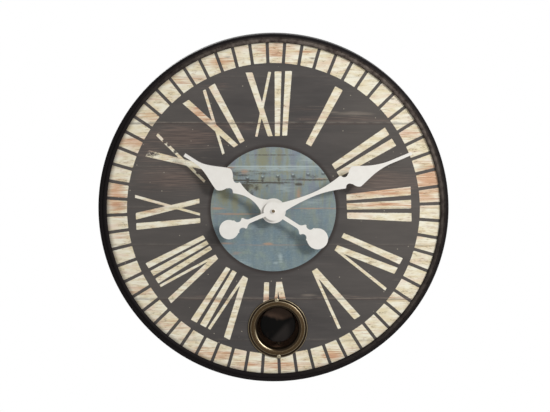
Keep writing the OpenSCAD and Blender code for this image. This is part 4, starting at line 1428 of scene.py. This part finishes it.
@dataclass
class WindowBezel:
    """The moulded brass bezel of the pendulum window, with its collar and two screw lugs."""

    inner: float = 36.5
    width: float = 13.9
    back_inner: float = 34.5
    collar_out: float = 38.3
    back_h: float = 33.5
    bead_half: float = 1.5
    bead_h: float = 2.3
    band_h: float = 1.3
    lip_w: float = 3.4
    lip_h: float = 1.6
    clear: float = 0.02
    lug_r: float = 3.3
    lug_h: float = 2.0
    lug_foot: float = 0.3
    screw_drop: float = 2.5
    # Angle of the painted highlight on the lip, in degrees clockwise from the top: the lower left,
    # facing the key lamp
    highlight_at: float = 232.0

    def face(self, r: Array) -> Array:
        """Height over the dial of the moulding at radius r.

        A half-round outer bead, a groove, a shoulder that rises to a broad band with one raised
        line, and a lip that slopes down to the opening: half-rounds and soft steps added up.

        Args:
            r: Radii about the opening's middle.

        Returns:
            The heights.
        """
        out = self.inner + self.width
        off = (r - out) / self.bead_half + 1
        bead = self.bead_h * np.sqrt(np.clip(1 - off**2, 0, 1))
        rise = 1.1 * smooth(out - 3.6, out - 6.4, r) + 0.7 * smooth(out - 6.4, out - 10, r)
        line = 0.35 * np.exp(-(((r - (out - 7.4)) / 0.4) ** 2))
        lip = -self.lip_h * (1 - smooth(self.inner, self.inner + self.lip_w, r))
        return np.maximum(bead, (self.band_h + rise + line + lip) * (r < out - 2 * self.bead_half))

    def crest(self, x: Array, h: Array, z: Array) -> Array:
        """How bright the moulding is worn, from 0 in its hollows to 1 on its crests, with a painted
        highlight on the lip.

        Args:
            x: Distance to the right of the hands' axis.
            h: Forward height from the wall.
            z: Distance up from the axis.

        Returns:
            The highest of a bell on the bead, one on the shoulder, one on the lip's upper edge,
            the band's even tone and a painted highlight: a bell on the lip that is cut short at
            both ends of an arc at the lower left.
        """
        z = z - WINDOW_Z
        r, out = np.hypot(x, z), self.inner + self.width
        bead = 0.75 * np.exp(-(((r - (out - 1.0)) / 0.7) ** 2))
        shoulder = 0.78 * np.exp(-(((r - (out - 5.2)) / 0.55) ** 2))
        line = 0.6 * np.exp(-(((r - (self.inner + self.lip_w)) / 0.55) ** 2))
        band = 0.42 * smooth(out - 4, out - 6, r) * smooth(self.inner + 1.2, self.inner + 3.0, r)
        # The painted highlight on the lip, at the lower left where the key lamp would catch it
        highlight_arc = smooth(0.6, 0.95, np.cos(np.arctan2(x, z) - math.radians(self.highlight_at)))
        lip = np.exp(-(((r - (self.inner + 1.3)) / 0.9) ** 2)) * highlight_arc
        return np.maximum.reduce([bead, shoulder, line, band, lip]) * (h > DIAL_H + 0.2)

    def lug(self) -> tuple[Array, Array]:
        """The section of a screw's lug, and how bright it is worn at each point.

        Returns:
            Rows of (radius, height) from the foot over the rounded shoulder to the screw's seat,
            and one value a row.
        """
        foot, top = DIAL_H + self.lug_foot, DIAL_H + self.lug_h
        section = np.concatenate([
            [[3.0, foot], [self.lug_r, foot]], arc(self.lug_r - 0.5, top - 0.1, 0.5, 0, 90, 5),
            [[3.0, top + 0.4], [2.9, top - 0.2], [0.0, top - 0.2], [0.0, foot]],
        ])
        return section, np.array([0.3, 0.3, 0.5, 0.7, 0.8, 0.8, 0.8, 0.8, 0.2, 0.2, 0.2])

    def build(self) -> None:
        """Build the bezel and its two lugs."""
        out = self.inner + self.width
        r = np.linspace(out, self.inner, 72)
        top = np.stack([r, DIAL_H + self.face(r)], -1)
        back = [
            [self.inner - 0.25, DIAL_H + self.lip_h], [self.back_inner, self.back_h + 0.4],
            [self.back_inner + 0.4, self.back_h], [self.collar_out, self.back_h],
            [self.collar_out, DIAL_H + self.clear], [out, DIAL_H + self.clear],
        ]
        profile = np.concatenate([top, np.array(back, float)])
        bezel = turned("bezel_moulding", profile, (0, WINDOW_Z), 180)
        # Worn crests and the painted highlight on the lip
        paint(bezel, {"crest": self.crest(*vertices_mm(bezel))})
        dress(bezel, Body.CASE, AntiqueBrass())
        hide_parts("window_bezel")
        section, value = self.lug()
        for sign, where in ((1, "upper"), (-1, "lower")):
            at = (0.0, WINDOW_Z + sign * (out - self.screw_drop))
            piece = turned("bezel_lug_" + where, section, at, 48, values={"crest": value})
            dress(piece, Body.CASE, AntiqueBrass())


@dataclass(frozen=True)
class ScrewSet:
    """Cross-headed screws of one kind, which replace a CAD node.

    Lengths are in millimetres. The arm's half-width and the cross's reach, where it starts to
    end and where it ends, are shares of the head's radius.
    """

    node: str
    places: tuple[tuple[float, float], ...]
    seat: float
    head_r: float
    head_t: float
    shank_r: float
    length: float
    forward: bool
    finish: Finish
    slot: str
    recess: float = 0.95
    cone: float = 0.0
    point: float = 3.0
    arm: float = 0.14
    reach: tuple[float, float] = (0.5, 0.68)
    sharp: float = 50.0
    steps: int = 48
    rings: int = 16

    def build(self) -> None:
        """Build the screws as one piece: domed heads with a cross recess, and shanks.

        At radius r and angle a the head's height is t sqrt(1 - 0.62 (r/R)^2), less a recess of
        soft edge where |r sin a| or |r cos a| is under about a seventh of the head's radius.
        Under the head a cone of the given depth, or a flat seat, runs in to the shank.
        """
        t = np.linspace(0, 2 * math.pi, self.steps, endpoint=False)[None, :]
        r = self.head_r * np.linspace(0, 1, self.rings)[:, None] ** 0.8
        dome = self.head_t * np.sqrt(1 - 0.62 * (r / self.head_r) ** 2)
        arm, near_end, far_end = (self.head_r * s for s in (self.arm, *self.reach))
        near = np.minimum(np.abs(r * np.sin(t)), np.abs(r * np.cos(t)))
        cross = (1 - smooth(arm * 0.8, arm * 1.5, near)) * (1 - smooth(near_end, far_end, r))
        ends = np.array([
            (self.head_r, 0.0), (self.shank_r, -self.cone),
            (self.shank_r, self.point - self.length), (0.0, -self.length),
        ])[:, :, None] * np.ones(self.steps)
        radii = np.concatenate([r * np.ones(self.steps), ends[:, 0]])
        heights = np.concatenate([dome - cross * self.recess, ends[:, 1]])
        sign = 1 if self.forward else -1
        points, faces = [], []
        for k, (cx, cz) in enumerate(self.places):
            grid = place(cx + radii * np.sin(t), self.seat + sign * heights, cz + radii * np.cos(t))
            points.append(grid.reshape(-1, 3))
            faces.append(grid_faces(len(radii), self.steps, False, True) + k * radii.size)
        made = mesh_object(self.node + "_piece", np.concatenate(points), np.concatenate(faces))
        dress(tidy(made, self.sharp), Body.CASE, self.finish)
        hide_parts(self.node)


def ring_places(radius: float, count: int, first: float) -> tuple[tuple[float, float], ...]:
    """Places on a circle about the hands' axis, the first at an angle from +x towards -z."""
    turns = [math.radians(first + 360 * k / count) for k in range(count)]
    return tuple((radius * math.cos(a), -radius * math.sin(a)) for a in turns)


@dataclass
class Fasteners:
    """All the screws of the case."""

    @staticmethod
    def hanger_places() -> tuple[tuple[float, float], ...]:
        """Places of the hanger's two screws: a head's radius in from the ends of their box.

        Returns:
            The x and z of each.
        """
        low, high = box_mm("hanger_screws")
        radius = (high[2] - low[2]) / 2
        level = (low[2] + high[2]) / 2 - AXIS_Z
        return (low[0] + radius, level), (high[0] - radius, level)

    def build(self) -> None:
        """Build each set of screws."""
        bezel = WindowBezel()
        reach = bezel.inner + bezel.width - bezel.screw_drop
        sets = (
            ScrewSet(
                "bezel_screws", ((0, WINDOW_Z - reach), (0, WINDOW_Z + reach)),
                DIAL_H + bezel.lug_h, head_r=2.85, head_t=1.5, shank_r=1.4, length=9.0,
                forward=True, finish=NICKEL, slot="bright_screws",
            ),
            ScrewSet(
                "cover_screws", ring_places(RIM_R - 4.5, 8, 22.5), 1.8, head_r=3.0, head_t=1.5,
                shank_r=1.45, length=8.0, forward=False, finish=BLACK_OXIDE, slot="black_screws",
            ),
            ScrewSet(
                "clip_screws", ring_places(RIM_R - 19.5, 6, 0), 31.8, head_r=3.0, head_t=1.6,
                shank_r=1.45, length=9.0, forward=False, finish=ZINC, slot="zinc_steel",
            ),
            ScrewSet(
                "hanger_screws", self.hanger_places(), 0.3, head_r=3.35, head_t=0.25,
                shank_r=1.45, length=19.7, forward=False, finish=YELLOW_ZINC, slot="zinc_steel",
                recess=0.85, cone=1.5,
            ),
        )
        for each in sets:
            each.build()


@dataclass
class Hands:
    """The two spade hands and the nut that holds them."""

    bevel: float = 0.3
    nut_bore: float = 1.5
    nut_recess: float = 2.9

    def build(self) -> None:
        """Build the hands from their CAD outlines with softened edges, and their nut."""
        dress(bevelled_copy("minute_hand", self.bevel), Body.MINUTE, IVORY_ENAMEL)
        dress(bevelled_copy("hour_hand", self.bevel), Body.HOUR, IVORY_ENAMEL)
        low, high = box_mm("hand_nut")
        radius, front, back = (high[0] - low[0]) / 2, -low[1], -high[1]
        collar = np.concatenate([
            [[self.nut_recess - 0.5, back], [radius - 0.2, back], [radius, back + 0.3]],
            arc(radius - 0.7, front - 0.7, 0.7, 0, 90, 7),
            arc(self.nut_recess + 0.2, front - 0.2, 0.2, 90, 180, 4),
            [[self.nut_recess - 0.5, back + 0.5]],
        ])
        ring = turned("hand_nut_collar", collar, steps=64)
        dress(ring, Body.MINUTE, IVORY_ENAMEL)
        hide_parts("hand_nut")
        core = np.array([
            [self.nut_bore, back + 0.05], [self.nut_recess - 0.45, back + 0.05],
            [self.nut_recess - 0.45, back + 0.9], [self.nut_bore + 0.2, back + 1.1],
            [self.nut_bore, back + 0.9],
        ])
        insert = turned("hand_nut_core", core, steps=48)
        dress(insert, Body.MINUTE, BROWNED_BRASS)


@dataclass
class Pendulum:
    """The bob: a lens of two shallow domes with a rolled edge."""

    edge_t: float = 1.6
    roll: float = 0.5

    def build(self) -> None:
        """Build the bob in place of its CAD node.

        About the bob's middle a painted brown reflection comes in from 5 to 15 mm over the parabola
        up = 0.01 across^2 - 0.12 across. A painted grey reflection comes in where across - up grows
        from
        6 to 20 mm, and goes again where up grows from 6 to 14 mm.
        """
        low, high = box_mm("pendulum_bob")
        radius, half = (high[0] - low[0]) / 2, (high[1] - low[1]) / 2
        middle_h = -(low[1] + high[1]) / 2
        at = ((low[0] + high[0]) / 2, (low[2] + high[2]) / 2 - AXIS_Z)
        dome = half - self.edge_t / 2
        round_r = (radius**2 + dome**2) / (2 * dome)
        r = np.linspace(0, radius - self.roll, 40)
        front = np.sqrt(round_r**2 - r**2) - round_r + half
        edge = arc(radius - self.roll, 0, self.roll, 90, -90, 7)
        edge[:, 1] *= (self.edge_t / 2 + 0.3) / self.roll
        profile = np.concatenate([
            np.stack([r, middle_h + front], -1), edge + [0, middle_h],
            np.stack([r[::-1], middle_h - front[::-1]], -1),
        ])
        bob = turned("pendulum_bob_piece", profile, at, 144)
        x, _, z = vertices_mm(bob)
        across, up = x - at[0], z - at[1]
        # Painted reflections: brown in the upper part of the bob, grey towards its lower right
        painted_brown_reflection = smooth(5, 15, up - 0.01 * across**2 + 0.12 * across)
        painted_grey_reflection = smooth(2, 16, across - up - 4) * smooth(0, 8, 14 - up)
        paint(bob, {"painted_brown_reflection": painted_brown_reflection, "painted_grey_reflection": painted_grey_reflection})
        dress(bob, Body.PENDULUM, BobLacquer())
        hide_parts("pendulum_bob")


@dataclass
class Movement:
    """The parts that show from behind: the case of the movement, the knob and the hanger."""

    def build(self) -> None:
        """Build them from their CAD shapes with softened edges."""
        # Node, width of the bevel, body, finish and slot
        plain = (
            ("movement_rear_case", 0.35, Body.CASE, ABS, "movement_plastic"),
            ("movement_front_case", 0.3, Body.CASE, ABS, "movement_plastic"),
            ("setting_knob", 0.15, Body.KNOB, ACETAL, "gear_plastic"),
            ("hanger_plate", 0.25, Body.CASE, ZINC, "zinc_steel"),
            ("dial_clips", 0.3, Body.CASE, ZINC, "zinc_steel"),
            ("hanger_block", 0.6, Body.CASE, PINE, "pine"),
            ("back_cover", 0.35, Body.CASE, HARDBOARD, "hardboard"),
        )
        for node, width, body, look, slot in plain:
            dress(bevelled_copy(node, width), body, look)


@dataclass
class Battery:
    """The battery: a steel can with a nub, in a printed sleeve that is turned in at the ends."""

    sleeve_t: float = 0.15
    turned_in: float = 1.1
    nub_r: float = 2.75
    nub_h: float = 1.0
    band_at: float = 0.72

    def build(self) -> None:
        """Build the can in place of its CAD node, and the sleeve."""
        low, high = box_mm("battery")
        at = (-(low[1] + high[1]) / 2, (low[2] + high[2]) / 2 - AXIS_Z)
        radius, foot, top = (high[2] - low[2]) / 2, low[0], high[0]
        shoulder, inner = top - self.nub_h, radius - self.sleeve_t
        band = foot + self.band_at * (top - foot)
        can = np.array([
            [0.0, foot + 0.1], [radius - 2.2, foot + 0.1], [radius - 1.9, foot + 0.35],
            [inner - 0.4, foot + 0.35], [inner, foot + 0.8], [inner, shoulder - 0.8],
            [inner - 0.4, shoulder - 0.3], [radius - 1.9, shoulder - 0.3],
            [radius - 2.1, shoulder - 0.05], [self.nub_r + 0.35, shoulder - 0.05],
            [self.nub_r, shoulder + 0.25], [self.nub_r, top - 0.3], [self.nub_r - 0.3, top],
            [0.0, top],
        ])
        steel = turned("battery_can", can, at, 72, False, axis=Axis.ACROSS)
        dress(steel, Body.BATTERY, BATTERY_STEEL)
        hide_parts("battery")
        sleeve = np.concatenate([
            [[radius - self.turned_in, foot + 0.2]],
            arc(radius - 0.5, foot + 0.5, 0.5, 270, 360, 6),
            [[radius, foot + 0.3 * (top - foot)], [radius, band]],
            arc(radius - 0.5, shoulder - 0.5, 0.5, 0, 90, 6),
            [[radius - self.turned_in, shoulder - 0.2], [inner, shoulder - 0.6]],
            [[inner, foot + 0.6]],
        ])
        jacket = turned("battery_sleeve", sleeve, at, 72, axis=Axis.ACROSS)
        dress(jacket, Body.BATTERY, BatterySleeve(at=band))


# The finishes of the CAD nodes
LOOKS = {
    FIBREBOARD: ("dial_panel",),
    RimEnamel(): ("case_rim",),
    ZINC: ("dial_clips", "clip_screws", "hanger_plate"),
    YELLOW_ZINC: ("hanger_screws",),
    HARDBOARD: ("back_cover",),
    BLACK_OXIDE: ("cover_screws",),
    PINE: ("hanger_block",),
    FELT: ("wall_pads",),
    ABS: ("movement_front_case", "movement_rear_case"),
    ACETAL: (
        "train_plate", "drive_bobbin", "hour_wheel", "minute_wheel", "setting_knob",
        "third_wheel", "seconds_wheel", "step_wheel", "rotor_pinion", "pendulum_lever",
    ),
    TURNED_BRASS: ("threaded_bushing", "dial_washer", "dial_nut", "centre_wheel"),
    RUBBER: ("rubber_gasket",),
    CORE_IRON: ("motor_stator",),
    BOARD: ("circuit_board",),
    SPRING_STEEL: ("quartz_crystal", "positive_contact", "negative_contact", "pivot_pin"),
    MAGNET: ("rotor_magnet", "lever_magnet"),
    NICKEL: ("bezel_screws",),
    IVORY_ENAMEL: ("minute_hand", "hour_hand"),
    BATTERY_STEEL: ("battery",),
    BROWNED_BRASS: ("hand_nut", "minute_arbor"),
    AntiqueBrass(): ("window_bezel", "pendulum_rod", "rating_nut"),
    BobLacquer(): ("pendulum_bob",),
    Winding("motor coil wire", (1, 0, 0)): ("motor_coil",),
    Winding("drive coil wire", (0, 1, 0)): ("drive_coil",),
}


def dress_nodes() -> None:
    """Give every CAD node its finish."""
    for look, names in LOOKS.items():
        for name in names:
            NODES[name].data.materials.clear()
            NODES[name].data.materials.append(look.material())


# Studio


@dataclass(frozen=True)
class Lamp:
    """A square area lamp: its direction from the clock, distance and side in m, power in W."""

    name: str
    towards: tuple[float, float, float]
    away: float
    size: float
    power: float

    def build(self) -> None:
        """Build the lamp, which faces the clock."""
        data = bpy.data.lights.new(self.name, "AREA")
        data.size, data.energy = self.size, self.power
        made = linked(self.name, data)
        way = Vector(self.towards).normalized()
        made.location = Vector((0, 0, AXIS_Z * MM)) + way * self.away
        made.rotation_mode = "QUATERNION"
        made.rotation_quaternion = way.to_track_quat("Z", "Y")


LAMPS = (
    Lamp("key", (0.62, -0.70, 0.36), 2.6, 0.55, 40),
    Lamp("upper fill", (0.55, -0.6, 0.6), 2.8, 1.4, 16),
    Lamp("back fill", (-0.45, 0.8, 0.4), 3.0, 1.8, 52),
)


@dataclass
class Studio:
    """Camera, lamps, floor and the pale room round the clock."""

    azimuth: float = 0.77
    elevation: float = 7.14
    roll: float = -2.14
    distance: float = 4.0
    pixels_a_mm: float = 0.6002
    picture: tuple[int, int] = (550, 412)
    target_px: tuple[float, float] = (273.36, 209.33)
    film_mm: float = 36.0
    ambient: float = 0.365
    floor_z: float = -1.1
    floor_half: float = 1.2
    fade: tuple[float, float] = (0.45, 1.1)
    floor_glow: float = 0.35

    def camera(self) -> None:
        """Make the camera at the photograph's angle.

        The lens is the film's width times the distance over the width that the picture takes in,
        and the shift moves the hands' axis from the picture's middle to its place.
        """
        data = bpy.data.cameras.new("camera")
        wide = self.picture[0] / self.pixels_a_mm * MM
        data.lens = self.film_mm * self.distance / wide
        data.shift_x = (self.picture[0] / 2 - self.target_px[0]) / self.picture[0]
        data.shift_y = (self.target_px[1] - self.picture[1] / 2) / self.picture[0]
        data.clip_start, data.clip_end = 0.1, 50
        made = linked("camera", data)
        a, e = math.radians(self.azimuth), math.radians(self.elevation)
        back = Vector((math.sin(a) * math.cos(e), -math.cos(a) * math.cos(e), math.sin(e)))
        target = Vector((0, -DIAL_H * MM, AXIS_Z * MM))
        turn = back.to_track_quat("Z", "Y").to_matrix().to_4x4()
        roll = Matrix.Rotation(math.radians(self.roll), 4, "Z")
        made.matrix_world = Matrix.Translation(target + back * self.distance) @ turn @ roll
        bpy.context.scene.camera = made

    def floor(self) -> None:
        """A pale floor under the clock.

        It shows its shadows in the middle and turns into plain white towards its edge, by the
        distance from the middle.
        """
        corners = np.array([(-1, -1, 0), (1, -1, 0), (1, 1, 0), (-1, 1, 0)]) * self.floor_half
        floor = mesh_object("floor", corners + [0, 0, self.floor_z], np.array([[0, 1, 2, 3]]))
        made = bpy.data.materials.new("matt white floor")
        tree = empty_tree(made)
        seen = add(tree, "LightPath").outputs["Is Camera Ray"]
        where = add(tree, "TexCoord").outputs["Object"]
        flat = add(tree, "VectorMath", {0: where, 1: (1, 1, 0)}, operation="MULTIPLY")
        away = add(tree, "VectorMath", {0: flat}, operation="LENGTH").outputs["Value"]
        glow = add(tree, "Math", {0: seen, 1: self.floor_glow}, operation="MULTIPLY")
        board = {
            "Base Color": linear("#f2f2f0"), "Roughness": 0.9, "Emission Color": (1, 1, 1, 1),
            "Emission Strength": glow,
        }
        blend = {
            0: overlap(tree, (away, *self.fade), (seen, 0.0, 1.0)),
            1: add(tree, "BsdfPrincipled", board),
            2: add(tree, "Emission", {"Color": (1, 1, 1, 1), "Strength": 1.0}),
        }
        add(tree, "OutputMaterial", {"Surface": add(tree, "MixShader", blend)})
        floor.data.materials.append(made)

    def room(self) -> None:
        """A room that lights evenly, and is seen and mirrored as white."""
        bpy.context.scene.world = bpy.data.worlds.new("room")
        tree = empty_tree(bpy.context.scene.world)
        path = add(tree, "LightPath").outputs
        level = self.ambient
        for ray in ("Is Camera Ray", "Is Glossy Ray", "Is Transmission Ray"):
            level = add(tree, "Math", {0: level, 1: path[ray]}, operation="MAXIMUM")
        sky = add(tree, "Background", {"Color": (1, 1, 1, 1), "Strength": level})
        add(tree, "OutputWorld", {"Surface": sky})

    def build(self) -> None:
        """Build the whole studio."""
        self.camera()
        self.floor()
        self.room()
        for lamp in LAMPS:
            lamp.build()
        bpy.context.scene.view_settings.view_transform = "Standard"


def main() -> None:
    """Dress the frame, build each sub-assembly and report it."""
    logging.basicConfig(level=logging.INFO, format="%(name)s: %(message)s")
    dress_nodes()
    parts = (
        DialPrint(), CaseRim(), WindowBezel(), Fasteners(), Hands(), Pendulum(), Movement(),
        Battery(), Studio(),
    )
    for part in parts:
        part.build()
        log.info("built %s", type(part).__name__)


if __name__ == "__main__":
    main()
